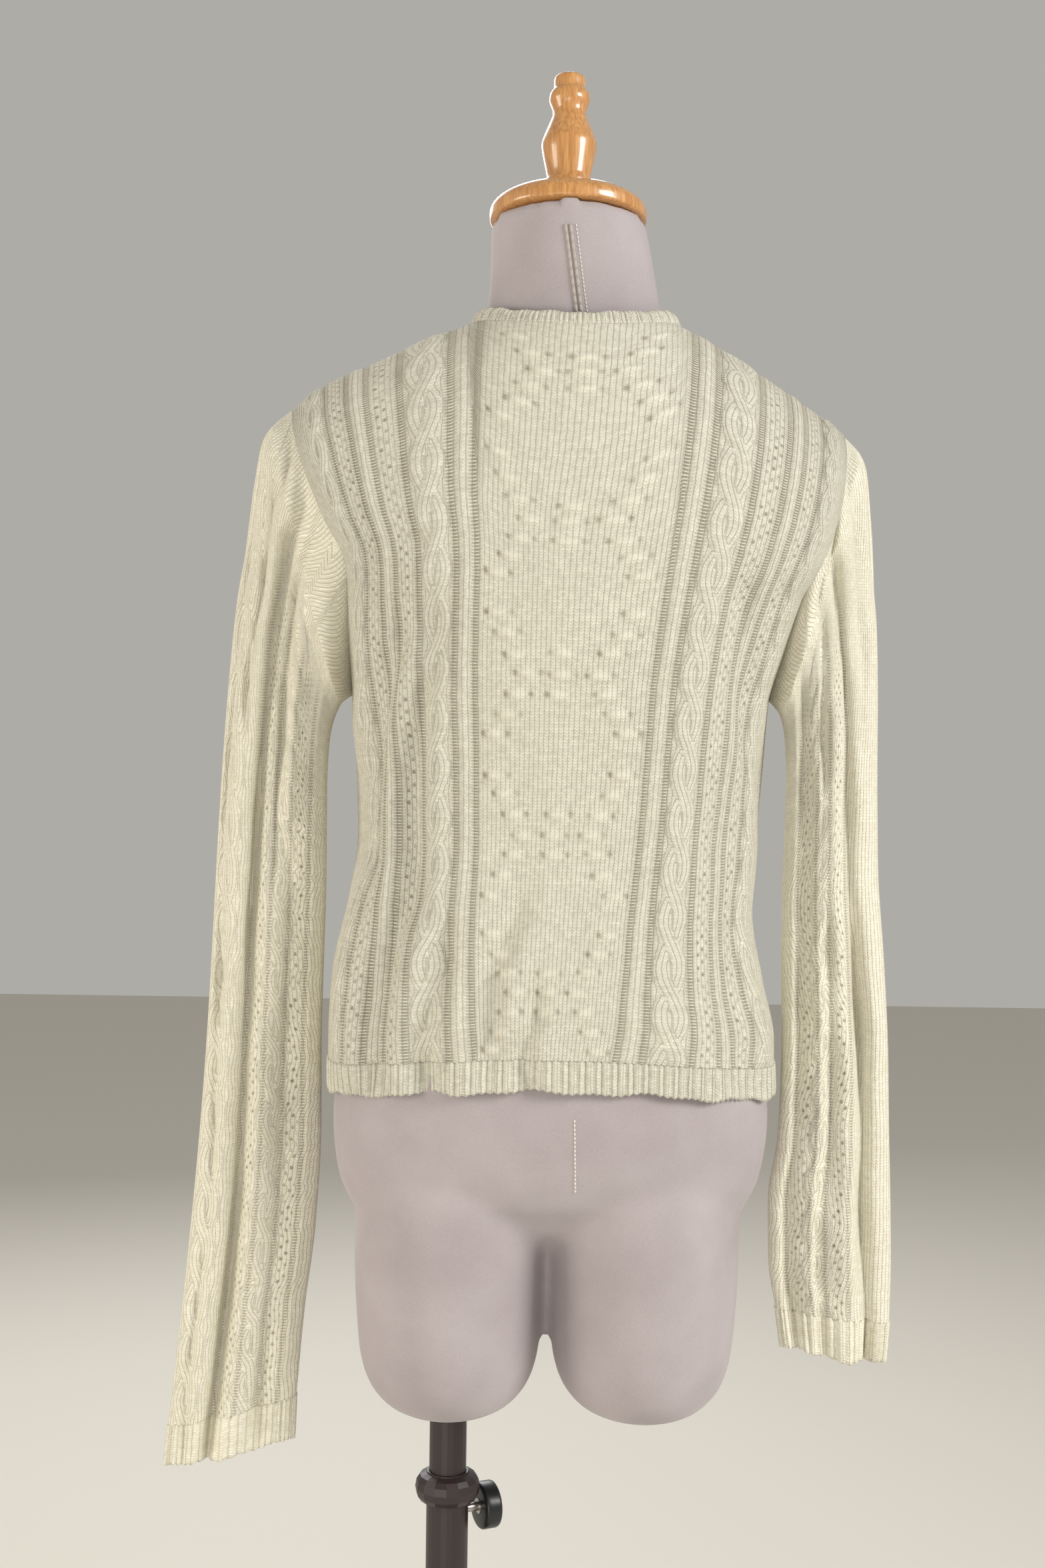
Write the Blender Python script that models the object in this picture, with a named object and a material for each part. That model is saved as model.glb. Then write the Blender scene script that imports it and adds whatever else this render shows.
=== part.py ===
"""A cable-knit cardigan on a limbless dress form with a height-adjustable stand.

Metres, +Z up. The origin is on the floor under the middle of the form, the front opening faces -Y and
the wearer's left is +X. Every cloth piece is a thin wall: a plain inner face under an outer face that
carries the raised knitting. All of them are read from one surface, cloth_point(), over the body tables.
"""

import math

import bmesh
import bpy
import numpy as np
from mathutils import Matrix, Vector

# ---------------------------------------------------------------------------------------------------
# Driving dimensions
# ---------------------------------------------------------------------------------------------------

WALL = 0.0024  # thickness of the knitted cloth
SEAM = 0.0003  # gap between pieces that are sewn together
FIT = 0.0003  # running gap between hard pieces

# Levels run up the cloth: they are heights up to the yoke, then lengths along the cloth over the back.
HEM_LEVEL = 0.880
PANEL_LEVEL = 0.900
ARMPIT = 1.132
YOKE = 1.200
COURSE = 0.0127  # height of one bobble row
CROWN = PANEL_LEVEL + 39 * COURSE  # level at the neck and shoulder seams

NECK_X = -0.0105
NECK_HALF = 0.0705
NECK_HEIGHT = 1.380
BACK_NECK_DROP = 0.009
FRONT_NECK_DROP = 0.074
BACK_NECK_DEPTH = 0.068
FRONT_NECK_DEPTH = 0.078

BODY_COLUMNS = ("level", "left", "right", "back", "front")
# Half widths at the wearer's left and right panel edges, then depths behind and before the side seams.
# Rows under the hem shape the form alone.
BODY = (
    (0.780, 0.134, 0.134, 0.090, 0.084),
    (0.820, 0.146, 0.147, 0.104, 0.096),
    (0.865, 0.1500, 0.1525, 0.112, 0.106),
    (0.915, 0.1500, 0.1520, 0.112, 0.106),
    (0.950, 0.1465, 0.1430, 0.108, 0.101),
    (0.996, 0.1375, 0.1360, 0.098, 0.095),
    (1.040, 0.1315, 0.1380, 0.091, 0.093),
    (1.075, 0.1325, 0.1405, 0.091, 0.098),
    (1.132, 0.1360, 0.1445, 0.096, 0.112),
    (1.165, 0.1370, 0.1510, 0.099, 0.116),
    (1.208, 0.1365, 0.1630, 0.100, 0.112),
    (1.228, 0.1385, 0.1700, 0.100, 0.108),
    (1.258, 0.1510, 0.1790, 0.099, 0.104),
    (1.298, 0.1650, 0.1860, 0.097, 0.100),
    (1.340, 0.1745, 0.1895, 0.095, 0.098),
    (1.396, 0.1790, 0.1905, 0.093, 0.096),
)

SHOULDER_COLUMNS = ("out", "left", "right")
# Height of the shoulder seam at a distance out from the middle.
SHOULDER = (
    (0.060, 1.3800, 1.3870),
    (0.081, 1.3730, 1.3800),
    (0.129, 1.3510, 1.3525),
    (0.156, 1.3390, 1.3350),
    (0.179, 1.3220, 1.3190),
    (0.191, 1.3120, 1.3100),
)

LADDER_COLUMNS = ("level", "left", "right")
# Two ladder lines edge the centre panel: how far round each lies, from the middle of the back (0) to the
# side edge (1). The right one slants in towards the hem.
LADDERS = (
    (0.880, 0.204, 0.151),
    (1.040, 0.248, 0.254),
    (1.160, 0.248, 0.276),
    (1.230, 0.243, 0.280),
    (1.310, 0.206, 0.298),
    (1.396, 0.187, 0.311),
)

FOLD_COLUMNS = ("side", "low_x", "low", "high_x", "high", "spread", "raised")
# Soft folds of the body cloth: two ends by distance from the middle and level, then half width and height.
FOLDS = (
    (1, 0.088, 1.030, 0.081, 1.155, 0.013, -0.0025),
    (1, 0.118, 1.055, 0.103, 1.160, 0.013, -0.0028),
    (1, 0.108, 0.905, 0.101, 0.975, 0.013, -0.0025),
    (1, 0.078, 0.890, 0.072, 0.940, 0.011, -0.0018),
    (1, 0.032, 0.925, 0.030, 0.985, 0.012, -0.0014),
    (1, -0.112, 0.935, -0.116, 1.060, 0.013, -0.0022),
    (1, -0.130, 0.900, -0.124, 0.985, 0.012, -0.0020),
    (-1, 0.100, 0.900, 0.088, 1.060, 0.014, -0.0026),
    (-1, -0.104, 0.900, -0.090, 1.050, 0.014, -0.0026),
    (-1, 0.060, 0.890, 0.052, 0.980, 0.013, -0.0018),
    (-1, -0.066, 0.890, -0.055, 1.000, 0.013, -0.0018),
)

SLEEVE_COLUMNS = ("outer_x", "outer_z", "inner_x", "inner_z", "middle_y", "thick")
# Sections of each sleeve by their outermost and innermost points, as the empty sleeve hangs.
SLEEVE_LEFT = (
    (0.1870, 1.3140, 0.1420, 1.1290, 0.006, 0.088),
    (0.1950, 1.3000, 0.1455, 1.1220, 0.006, 0.072),
    (0.2000, 1.2720, 0.1490, 1.1120, 0.006, 0.058),
    (0.2060, 1.2360, 0.1510, 1.1000, 0.005, 0.048),
    (0.2130, 1.1980, 0.1520, 1.0850, 0.004, 0.042),
    (0.2180, 1.1500, 0.1525, 1.0680, 0.003, 0.038),
    (0.2220, 1.1000, 0.1525, 1.0450, 0.002, 0.036),
    (0.2260, 1.0300, 0.1525, 1.0050, 0.002, 0.034),
    (0.2290, 0.9600, 0.1535, 0.9540, 0.003, 0.034),
    (0.2320, 0.9000, 0.1545, 0.8970, 0.004, 0.034),
    (0.2360, 0.8400, 0.1540, 0.8400, 0.005, 0.032),
    (0.2420, 0.7700, 0.1570, 0.7750, 0.006, 0.030),
    (0.2490, 0.7000, 0.1640, 0.7150, 0.007, 0.028),
    (0.2560, 0.6340, 0.1690, 0.6560, 0.008, 0.026),
)
CUFF_LEFT = (
    (0.2563, 0.6330, 0.1690, 0.6550, 0.008, 0.026),
    (0.2590, 0.6060, 0.1700, 0.6270, 0.008, 0.024),
)
SLEEVE_RIGHT = (
    (-0.1970, 1.3030, -0.1500, 1.1270, 0.006, 0.088),
    (-0.2030, 1.2880, -0.1535, 1.1180, 0.006, 0.070),
    (-0.2070, 1.2540, -0.1555, 1.1060, 0.006, 0.056),
    (-0.2110, 1.2180, -0.1565, 1.0920, 0.005, 0.047),
    (-0.2150, 1.1820, -0.1570, 1.0760, 0.004, 0.042),
    (-0.2170, 1.1350, -0.1570, 1.0550, 0.003, 0.041),
    (-0.2180, 1.0850, -0.1565, 1.0300, 0.002, 0.040),
    (-0.2200, 1.0200, -0.1560, 0.9950, 0.002, 0.039),
    (-0.2250, 0.9600, -0.1565, 0.9500, 0.003, 0.038),
    (-0.2290, 0.9000, -0.1575, 0.8950, 0.004, 0.037),
    (-0.2310, 0.8400, -0.1560, 0.8400, 0.005, 0.035),
    (-0.2330, 0.7900, -0.1500, 0.7950, 0.006, 0.032),
    (-0.2340, 0.7450, -0.1510, 0.7520, 0.007, 0.029),
    (-0.2335, 0.7120, -0.1560, 0.7210, 0.008, 0.026),
)
CUFF_RIGHT = (
    (-0.2335, 0.7110, -0.1560, 0.7200, 0.008, 0.026),
    (-0.2320, 0.6840, -0.1600, 0.6950, 0.008, 0.024),
)

CREASE_COLUMNS = ("sleeve", "face", "low_share", "low", "high_share", "high", "spread", "depth")
# Long creases of the hanging sleeves, on the back (1) or front (-1) face, by the share of the width from
# the outer edge at two heights.
CREASES = (
    ("left", 1, 0.34, 0.640, 0.42, 1.230, 0.085, 0.0075),
    ("left", 1, 0.10, 0.960, 0.08, 1.230, 0.060, 0.0030),
    ("left", 1, 0.56, 1.080, 0.52, 1.240, 0.070, 0.0040),
    ("left", 1, 0.72, 0.700, 0.70, 1.000, 0.080, 0.0025),
    ("left", -1, 0.60, 0.650, 0.55, 1.180, 0.090, 0.0060),
    ("left", -1, 0.22, 0.800, 0.30, 1.200, 0.080, 0.0035),
    ("right", 1, 0.19, 0.700, 0.40, 1.180, 0.085, 0.0055),
    ("right", 1, 0.70, 0.800, 0.66, 1.080, 0.080, 0.0024),
    ("right", -1, 0.55, 0.700, 0.50, 1.160, 0.090, 0.0036),
    ("right", -1, 0.25, 0.850, 0.30, 1.180, 0.080, 0.0020),
)

# Dress form
NECK_COLUMNS = ("height", "middle_x", "middle_y", "half_x", "half_y")
NECK = (
    (1.330, -0.0100, -0.008, 0.0560, 0.052),
    (1.385, -0.0095, -0.002, 0.0575, 0.054),
    (1.415, -0.0078, 0.002, 0.0545, 0.053),
    (1.447, -0.0045, 0.004, 0.0512, 0.051),
)
NECK_TILT = math.radians(8)  # the neck's top faces a little forwards
THIGH_X = 0.0655
THIGH_COLUMNS = ("height", "shift_x", "half_x", "half_y")
THIGH = (
    (0.6500, 0.000, 0.0235, 0.030),
    (0.6525, 0.000, 0.0370, 0.048),
    (0.6600, 0.000, 0.0480, 0.062),
    (0.6730, 0.000, 0.0565, 0.073),
    (0.6900, 0.000, 0.0610, 0.079),
    (0.7256, 0.000, 0.0640, 0.084),
    (0.7800, -0.002, 0.0670, 0.090),
    (0.8050, -0.004, 0.0690, 0.090),
    (0.8400, -0.008, 0.0640, 0.078),
)

# Stand
POLE_X = 0.0655
MAST_RADIUS = 0.0127
TUBE_RADIUS = 0.0144
TUBE_TOP = 0.602
SOCKET_TOP = 0.760
MAST_BOTTOM = 0.300
BASE_RADIUS = 0.200
BASE_HEIGHT = 0.012
KNOB_HEIGHT = 0.573
KNOB_TURN = math.radians(25)  # the knob points to the wearer's right and a little forwards

# Fastening
BUTTON_LEVELS = (0.892, 0.968, 1.044, 1.120, 1.196, 1.272)
BUTTON_RADIUS = 0.0065
BUTTON_HEIGHT = 0.0028
BUTTON_GAP = 0.0008  # a button's thread shank
BAND_HALF = 0.012
LEFT_BAND_LIFT = 0.0
RIGHT_BAND_LIFT = WALL + SEAM  # the right band lies over the left
BOBBLE_INSET = 0.0026
BOBBLE_HEIGHT = 0.0036
SLEEVE_GAP = SEAM + 0.0004  # between a panel's armhole edge and the sleeve's head
GATHER_HEIGHT = 0.0022
GATHERS = 11
RIB_RAISED = 0.0009
RIB_SUNK = 0.0002
CUFF_RIBS = 26
CUFF_RIB_RAISED = 0.0008


# ---------------------------------------------------------------------------------------------------
# Reading the tables
# ---------------------------------------------------------------------------------------------------


def column(table, names, name):
    return np.array([row[names.index(name)] for row in table], float)


def smooth(stops, values, at):
    """Monotone cubic through the table's values."""
    stops, values, at = np.asarray(stops, float), np.asarray(values, float), np.asarray(at, float)
    step = np.diff(stops)
    slope = np.diff(values) / step
    tangent = np.empty_like(values)
    tangent[0], tangent[-1] = slope[0], slope[-1]
    for i in range(1, len(values) - 1):
        same_way = slope[i - 1] * slope[i] > 0
        tangent[i] = 2 * slope[i - 1] * slope[i] / (slope[i - 1] + slope[i]) if same_way else 0.0
    at = np.clip(at, stops[0], stops[-1])
    i = np.clip(np.searchsorted(stops, at, side="right") - 1, 0, len(step) - 1)
    t = (at - stops[i]) / step[i]
    return (
        (2 * t**3 - 3 * t**2 + 1) * values[i]
        + (t**3 - 2 * t**2 + t) * step[i] * tangent[i]
        + (3 * t**2 - 2 * t**3) * values[i + 1]
        + (t**3 - t**2) * step[i] * tangent[i + 1]
    )


def body(name, level):
    return smooth(column(BODY, BODY_COLUMNS, "level"), column(BODY, BODY_COLUMNS, name), level)


def ease_in(start, end, at):
    t = np.clip((np.asarray(at, float) - start) / (end - start), 0, 1)
    return t * t * (3 - 2 * t)


# ---------------------------------------------------------------------------------------------------
# The cloth's surface
# ---------------------------------------------------------------------------------------------------


def half_width(q, level):
    return np.where(q > 0, body("left", level), body("right", level))


def seam_top(side, x):
    """Depth, height and closing angle where a panel ends, at the neckline or the shoulder seam."""
    n = np.clip((x - NECK_X) / NECK_HALF, -1, 1)
    open_part = 1 - n * n
    out = column(SHOULDER, SHOULDER_COLUMNS, "out")
    left = smooth(out, column(SHOULDER, SHOULDER_COLUMNS, "left"), np.abs(x))
    right = smooth(out, column(SHOULDER, SHOULDER_COLUMNS, "right"), np.abs(x))
    shoulder = np.where(x > 0, left, right)
    in_neck = np.abs(x - NECK_X) < NECK_HALF
    drop = BACK_NECK_DROP * open_part if side > 0 else FRONT_NECK_DROP * open_part**0.8
    depth = BACK_NECK_DEPTH if side > 0 else FRONT_NECK_DEPTH
    turn = 25 if side > 0 else 42
    z = np.where(in_neck, NECK_HEIGHT - drop, shoulder)
    y = np.where(in_neck, side * depth * np.sqrt(open_part), 0.0)
    return y, z, np.radians(90 - turn * open_part**0.5)


def fold_height(side, x, level):
    """Height of the soft folds, outwards."""
    total = np.zeros(np.broadcast(x, level).shape)
    for row in FOLDS:
        fold = dict(zip(FOLD_COLUMNS, row))
        if fold["side"] != side:
            continue
        along = (level - fold["low"]) / (fold["high"] - fold["low"])
        middle = fold["low_x"] + (fold["high_x"] - fold["low_x"]) * np.clip(along, 0, 1)
        past = np.maximum(np.maximum(-along, along - 1), 0) * (fold["high"] - fold["low"])
        across = (x - middle) / fold["spread"]
        total = total + fold["raised"] * np.exp(-(across**2) - (past / 0.02) ** 2)
    return total


def plain_point(side, way, level):
    """The plain outer face of the back (side 1) or front (side -1). way is how far round a point lies,
    from -1 at the wearer's right edge to 1 at the left edge."""
    way, level = np.broadcast_arrays(np.asarray(way, float), np.asarray(level, float))
    q = np.sin(way * np.pi / 2)
    crown_half = half_width(q, CROWN)
    top_y, top_z, turn = seam_top(side, q * crown_half)
    rise = np.clip((level - YOKE) / (CROWN - YOKE), 0, 1)
    angle = turn * (0.732 * rise + 0.268 * rise**2)
    x = q * half_width(q, level)
    roundness = 2.4 - 0.8 * ease_in(ARMPIT - 0.02, YOKE, level)
    crown = np.clip(1 - np.abs(q) ** 2.4, 0, 1) ** (1 / roundness)
    arm = 0.055 * ease_in(ARMPIT, 1.235, level) ** 0.6
    depth = body("back" if side > 0 else "front", level)
    plain_y = side * (arm + (depth - arm) * crown)
    keep = (np.cos(angle) - np.cos(turn)) / (1 - np.cos(turn))
    y = top_y + (plain_y - top_y) * keep
    lift = 0.006 if side > 0 else -0.014
    hang = (-0.010 + (lift + 0.010) * (1 - q * q)) * (1 - ease_in(0.90, 1.02, level))
    z = np.where(level < YOKE, level + hang, YOKE + (top_z - YOKE) * np.sin(angle) / np.sin(turn))
    return np.stack([x, y, z], -1)


def cloth_normal(side, way, level):
    small = 1e-3
    way, level = np.broadcast_arrays(np.asarray(way, float), np.asarray(level, float))
    way_in = np.clip(way, -1 + small, 1 - small)
    level_in = np.clip(level, 0.7, CROWN - small)
    along = plain_point(side, way_in + small, level_in) - plain_point(side, way_in - small, level_in)
    up = plain_point(side, way_in, level_in + small) - plain_point(side, way_in, level_in - small)
    normal = np.cross(up, along) * side
    return normal / np.linalg.norm(normal, axis=-1, keepdims=True)


def cloth_point(side, way, level, out=0.0):
    """A point of the back or front, moved out along the normal. It never crosses to the other side of
    the side and shoulder seams."""
    base = plain_point(side, way, level)
    out = np.asarray(out + fold_height(side, base[..., 0], np.asarray(level, float)))
    point = base + cloth_normal(side, way, level) * out[..., None]
    point[..., 1] = side * np.maximum(side * point[..., 1], SEAM / 2)
    return point


# ---------------------------------------------------------------------------------------------------
# Mesh helpers
# ---------------------------------------------------------------------------------------------------


def material(name, colour, roughness, metallic=0.0):
    made = bpy.data.materials.get(name)
    if made is None:
        made = bpy.data.materials.new(name)
        made.use_nodes = True
        shader = made.node_tree.nodes["Principled BSDF"]
        shader.inputs["Base Color"].default_value = (*colour, 1)
        shader.inputs["Roughness"].default_value = roughness
        shader.inputs["Metallic"].default_value = metallic
        made.diffuse_color = (*colour, 1)
    return made


def knit():
    return material("cream viscose knit", (0.72, 0.69, 0.54), 0.85)


def jersey():
    return material("grey jersey cover", (0.50, 0.45, 0.43), 0.9)


def lacquered_wood():
    return material("lacquered beech", (0.55, 0.28, 0.09), 0.3)


def dark_steel():
    return material("brown powder-coated steel", (0.035, 0.024, 0.024), 0.45, 0.3)


def black_plastic():
    return material("black moulded plastic", (0.01, 0.011, 0.012), 0.4)


def keep_object(name, mesh, finish, smooth_below=40):
    piece = bpy.data.objects.new(name, mesh)
    piece.data.materials.clear()
    piece.data.materials.append(finish)
    mesh.shade_smooth()
    mesh.set_sharp_from_angle(angle=math.radians(smooth_below))
    bpy.data.collections["Cardigan on dress form"].objects.link(piece)
    return piece


def face_outwards(bm):
    bmesh.ops.recalc_face_normals(bm, faces=bm.faces)
    if bm.calc_volume(signed=True) < 0:
        bmesh.ops.reverse_faces(bm, faces=bm.faces)


def mesh_object(name, bm, finish, smooth_below=60):
    mesh = bpy.data.meshes.new(name)
    face_outwards(bm)
    bm.to_mesh(mesh)
    bm.free()
    return keep_object(name, mesh, finish, smooth_below)


def strand(bm, points):
    return [bm.verts.new(point) for point in points]


def bridge(bm, first, second, first_at, second_at):
    """Faces between two rows of vertices, which may have different counts, by how far along each is."""
    i = j = 0
    faces = []
    while i < len(first) - 1 or j < len(second) - 1:
        next_first = first_at[i + 1] if i < len(first) - 1 else math.inf
        next_second = second_at[j + 1] if j < len(second) - 1 else math.inf
        if abs(next_first - next_second) < 1e-6:
            faces.append(bm.faces.new((first[i], first[i + 1], second[j + 1], second[j])))
            i, j = i + 1, j + 1
        elif next_first < next_second:
            faces.append(bm.faces.new((first[i], first[i + 1], second[j])))
            i += 1
        else:
            faces.append(bm.faces.new((first[i], second[j + 1], second[j])))
            j += 1
    return faces


def share(values):
    values = np.asarray(values, float)
    return (values - values[0]) / (values[-1] - values[0])


class Column:
    """One upright line of a panel: where it lies across, at which levels it has points, how high it is.
    At the neck and shoulder seams it lies flat."""

    def __init__(self, across, levels, raised=lambda level: 0 * level):
        self.levels = np.asarray(levels, float)
        self.across = across(self.levels)
        self.raised = np.where(self.levels < CROWN, raised(self.levels), 0)


def straight_column(way, levels, raised=0.0):
    return Column(lambda level: way + 0 * level, levels, lambda level: raised + 0 * level)


def panel_sheet(bm, side, columns, depth):
    """The faces of one face of a wall, and its edge as four rows with their places along the edge."""
    rows = []
    for one in columns:
        out = -WALL if depth else one.raised
        rows.append(strand(bm, cloth_point(side, one.across, one.levels, out)))
    faces = []
    for (a, b), (first, second) in zip(zip(rows, rows[1:]), zip(columns, columns[1:])):
        faces.append(bridge(bm, a, b, share(first.levels), share(second.levels)))
    foot = share([one.across[0] for one in columns])
    head = share([one.across[-1] for one in columns])
    edges = (
        ([row[0] for row in rows], foot),
        (rows[-1], share(columns[-1].levels)),
        ([row[-1] for row in rows], head),
        (rows[0], share(columns[0].levels)),
    )
    return faces, edges


def panel(name, side, columns, inner_columns, bobbles=()):
    """A closed wall: its outer sheet, its plain inner sheet, and the rims between them."""
    bm = bmesh.new()
    faces, outer = panel_sheet(bm, side, columns, False)
    _, inner = panel_sheet(bm, side, inner_columns, True)
    for (outer_row, outer_at), (inner_row, inner_at) in zip(outer, inner):
        bridge(bm, outer_row, inner_row, outer_at, inner_at)
    face_outwards(bm)
    cells = [faces[i][j] for i, j in bobbles]
    if cells:
        bmesh.ops.inset_individual(bm, faces=cells, thickness=BOBBLE_INSET, depth=BOBBLE_HEIGHT)
    bmesh.ops.triangulate(bm, faces=bm.faces)
    return mesh_object(name, bm, knit())


# ---------------------------------------------------------------------------------------------------
# Knitted lines that stand up or lie low on the body
# ---------------------------------------------------------------------------------------------------

CABLE_PITCH = 0.0312
CABLE_HEIGHT = 0.0028
RIB_HEIGHT = 0.0013
LADDER_DEPTH = 0.0005
# Levels of points on lines with no relief of their own, closer where the cloth turns over the shoulder.
PLAIN_LEVELS = np.concatenate([np.linspace(PANEL_LEVEL, YOKE, 8), np.linspace(YOKE, CROWN, 8)[1:]])
CABLE_ROWS = round((CROWN - PANEL_LEVEL) / CABLE_PITCH) * 4

STITCH_COLUMNS = ("from_ladder", "kind")
# Lines outward from the ladder that edges the centre, in metres of cloth.
STITCHES = (
    (0.000, "ladder"),
    (0.003, "foot"),
    (0.006, "rib"),
    (0.009, "foot"),
    (0.012, "ladder"),
    (0.015, "cable edge"),
    (0.0195, "cable strand"),
    (0.024, "cable middle"),
    (0.0285, "cable strand"),
    (0.033, "cable edge"),
    (0.036, "ladder"),
    (0.046, "plain"),
    (0.054, "ladder"),
    (0.060, "rib"),
    (0.066, "ladder"),
    (0.074, "plain"),
    (0.082, "ladder"),
)
OUTER_CABLE = (
    (0.085, "cable edge"),
    (0.0895, "cable strand"),
    (0.094, "cable middle"),
    (0.0985, "cable strand"),
    (0.103, "cable edge"),
)
SIDE_SPAN = 0.135  # cloth from the ladder line to the side edge
SIDE_PARTS = (0.80, 0.90, 1.0)  # plain lines beyond the cables, as shares of that span


def raised_line(kind):
    """How far a line of this kind stands out at a level."""

    def wave(level):
        return np.cos(2 * np.pi * (level - PANEL_LEVEL) / CABLE_PITCH)

    if kind == "ladder":
        return lambda level: -LADDER_DEPTH + 0 * level
    if kind == "rib":
        return lambda level: RIB_HEIGHT + 0 * level
    if kind == "cable strand":
        return lambda level: CABLE_HEIGHT * (0.62 + 0.38 * wave(level))
    if kind == "cable middle":
        return lambda level: CABLE_HEIGHT * (0.50 - 0.50 * wave(level))
    return lambda level: 0 * level


def levels_for(kind):
    if kind in ("cable strand", "cable middle"):
        return np.linspace(PANEL_LEVEL, CROWN, CABLE_ROWS + 1)
    return PLAIN_LEVELS


def ladder_at(hand, level):
    name = "left" if hand > 0 else "right"
    return smooth(column(LADDERS, LADDER_COLUMNS, "level"), column(LADDERS, LADDER_COLUMNS, name), level)


def side_columns(hand, inner_edge, stitches):
    """The stitch lines from an inner edge out to the panel's edge. hand is 1 on the wearer's left."""
    lines = [(distance / SIDE_SPAN, kind) for distance, kind in stitches]
    lines += [(part, "plain") for part in SIDE_PARTS]
    made = []
    for part, kind in lines:
        across = lambda level, part=part: hand * (inner_edge(level) + part * (1 - inner_edge(level)))
        made.append(Column(across, levels_for(kind), raised_line(kind)))
    return made


def plain_columns(start, end, count, levels):
    """count columns across from start to end, which are functions of the level."""
    made = []
    for part in np.linspace(0, 1, count):
        across = lambda level, part=part: (1 - part) * start(level) + part * end(level)
        made.append(Column(across, levels))
    return made


CENTRE_CELLS = 13
BOBBLE_ROWS = round((CROWN - PANEL_LEVEL) / COURSE)
CHEVRON = (1, 2, 3, 4, 3, 2, 1)  # cell of each bobble, in from the ladder line, by row of the chevron
CHEVRON_REPEAT = 8
# Lines of the plain inner faces, and of the form under them, closer together under the neck.
INNER_WAYS = np.concatenate(
    [np.linspace(-1, -0.28, 7), np.linspace(-0.28, 0.22, 10)[1:], np.linspace(0.22, 1, 7)[1:]]
)


FIRST_FRONT_WAY = 0.08  # the front panels' inner faces take the lines beyond their button bands


def back_columns():
    right = side_columns(-1, lambda level: ladder_at(-1, level), STITCHES + OUTER_CABLE)[::-1]
    left = side_columns(1, lambda level: ladder_at(1, level), STITCHES + OUTER_CABLE)
    centre = plain_columns(
        lambda level: -ladder_at(-1, level),
        lambda level: ladder_at(1, level),
        CENTRE_CELLS + 1,
        np.linspace(PANEL_LEVEL, CROWN, BOBBLE_ROWS + 1),
    )
    # The centre's edge lines are the ladders themselves, with the centre's own row spacing.
    for edge in (centre[0], centre[-1]):
        edge.raised = np.where(edge.levels < CROWN, -LADDER_DEPTH, 0)
    return right[:-1] + centre + left[1:]


def back_panel():
    columns = back_columns()
    first_cell = (len(columns) - CENTRE_CELLS - 1) // 2
    inner = [straight_column(way, PLAIN_LEVELS) for way in INNER_WAYS]
    bobbles = []
    for row in range(BOBBLE_ROWS - 1):
        step = row % CHEVRON_REPEAT
        if step < len(CHEVRON):
            bobbles.append((first_cell + CHEVRON[step], row))
            bobbles.append((first_cell + CENTRE_CELLS - 1 - CHEVRON[step], row))
        if 2 <= step <= 4:
            bobbles.append((first_cell + CENTRE_CELLS // 2, row))
    return panel("back", 1, columns, inner, bobbles)


def band_edge(hand, level, width=BAND_HALF + SEAM):
    """How far round the front panels' edges lie at the button bands."""
    half = half_width(np.full_like(level, hand), level)
    return hand * np.arcsin(width / half) * 2 / np.pi


def front_columns(hand):
    ladder = lambda level: 0.14 + 0 * level
    start = lambda level: band_edge(hand, level)
    field = plain_columns(start, lambda level: hand * ladder(level), 3, PLAIN_LEVELS)
    return field[:-1] + side_columns(hand, ladder, STITCHES)


def front_panel(name, hand):
    ways = [way for way in sorted(hand * INNER_WAYS) if way > FIRST_FRONT_WAY]
    inner = [
        Column(lambda level: band_edge(hand, level), PLAIN_LEVELS),
        Column(lambda level: (band_edge(hand, level) + hand * ways[0]) / 2, PLAIN_LEVELS),
    ]
    inner += [straight_column(hand * way, PLAIN_LEVELS) for way in ways]
    return panel(name, -1, front_columns(hand), inner)


# ---------------------------------------------------------------------------------------------------
# Ribbed edges
# ---------------------------------------------------------------------------------------------------

HEM_RIB_PITCH = 0.0075
HEM_REACH = 0.205  # hem from the middle of the back or front round to the side seam


def hem(name, side, start, end):
    low, high = HEM_LEVEL, PANEL_LEVEL - SEAM
    reach = abs(end - start) * HEM_REACH
    ribs = round(reach / HEM_RIB_PITCH)
    columns = []
    for i, part in enumerate(np.linspace(start, end, 2 * ribs + 1)):
        raised = RIB_RAISED if i % 2 else -RIB_SUNK
        columns.append(straight_column(part, (low, high), raised))
    inner = [straight_column(part, (low, high)) for part in np.linspace(start, end, 15)]
    return panel(name, side, columns, inner)


# ---------------------------------------------------------------------------------------------------
# Sleeves
# ---------------------------------------------------------------------------------------------------


def armhole(hand, turn):
    """The armhole's edge on the outer face, from the shoulder (0) over the back to the armpit (pi) and up
    the front."""
    share_down = (1 - np.cos(turn)) / 2
    level = CROWN + (ARMPIT - CROWN) * share_down
    side = np.where(np.sin(turn) >= 0, 1, -1)
    back = plain_point(1, hand + 0 * level, level)
    front = plain_point(-1, hand + 0 * level, level)
    return np.where((side > 0)[:, None], back, front)


def crease_depth(hand_name, turn, height, across):
    face = np.where(np.sin(turn) >= 0, 1, -1)
    depth = np.zeros(np.broadcast(turn, height).shape)
    for row in CREASES:
        crease = dict(zip(CREASE_COLUMNS, row))
        if crease["sleeve"] != hand_name:
            continue
        along = (height - crease["low"]) / (crease["high"] - crease["low"])
        middle = crease["low_share"] + (crease["high_share"] - crease["low_share"]) * np.clip(along, 0, 1)
        past = np.maximum(np.maximum(-along, along - 1), 0) * (crease["high"] - crease["low"])
        here = crease["depth"] * np.exp(-(((across - middle) / crease["spread"]) ** 2) - (past / 0.03) ** 2)
        depth = depth + np.where(face == crease["face"], here, 0)
    return depth


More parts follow.
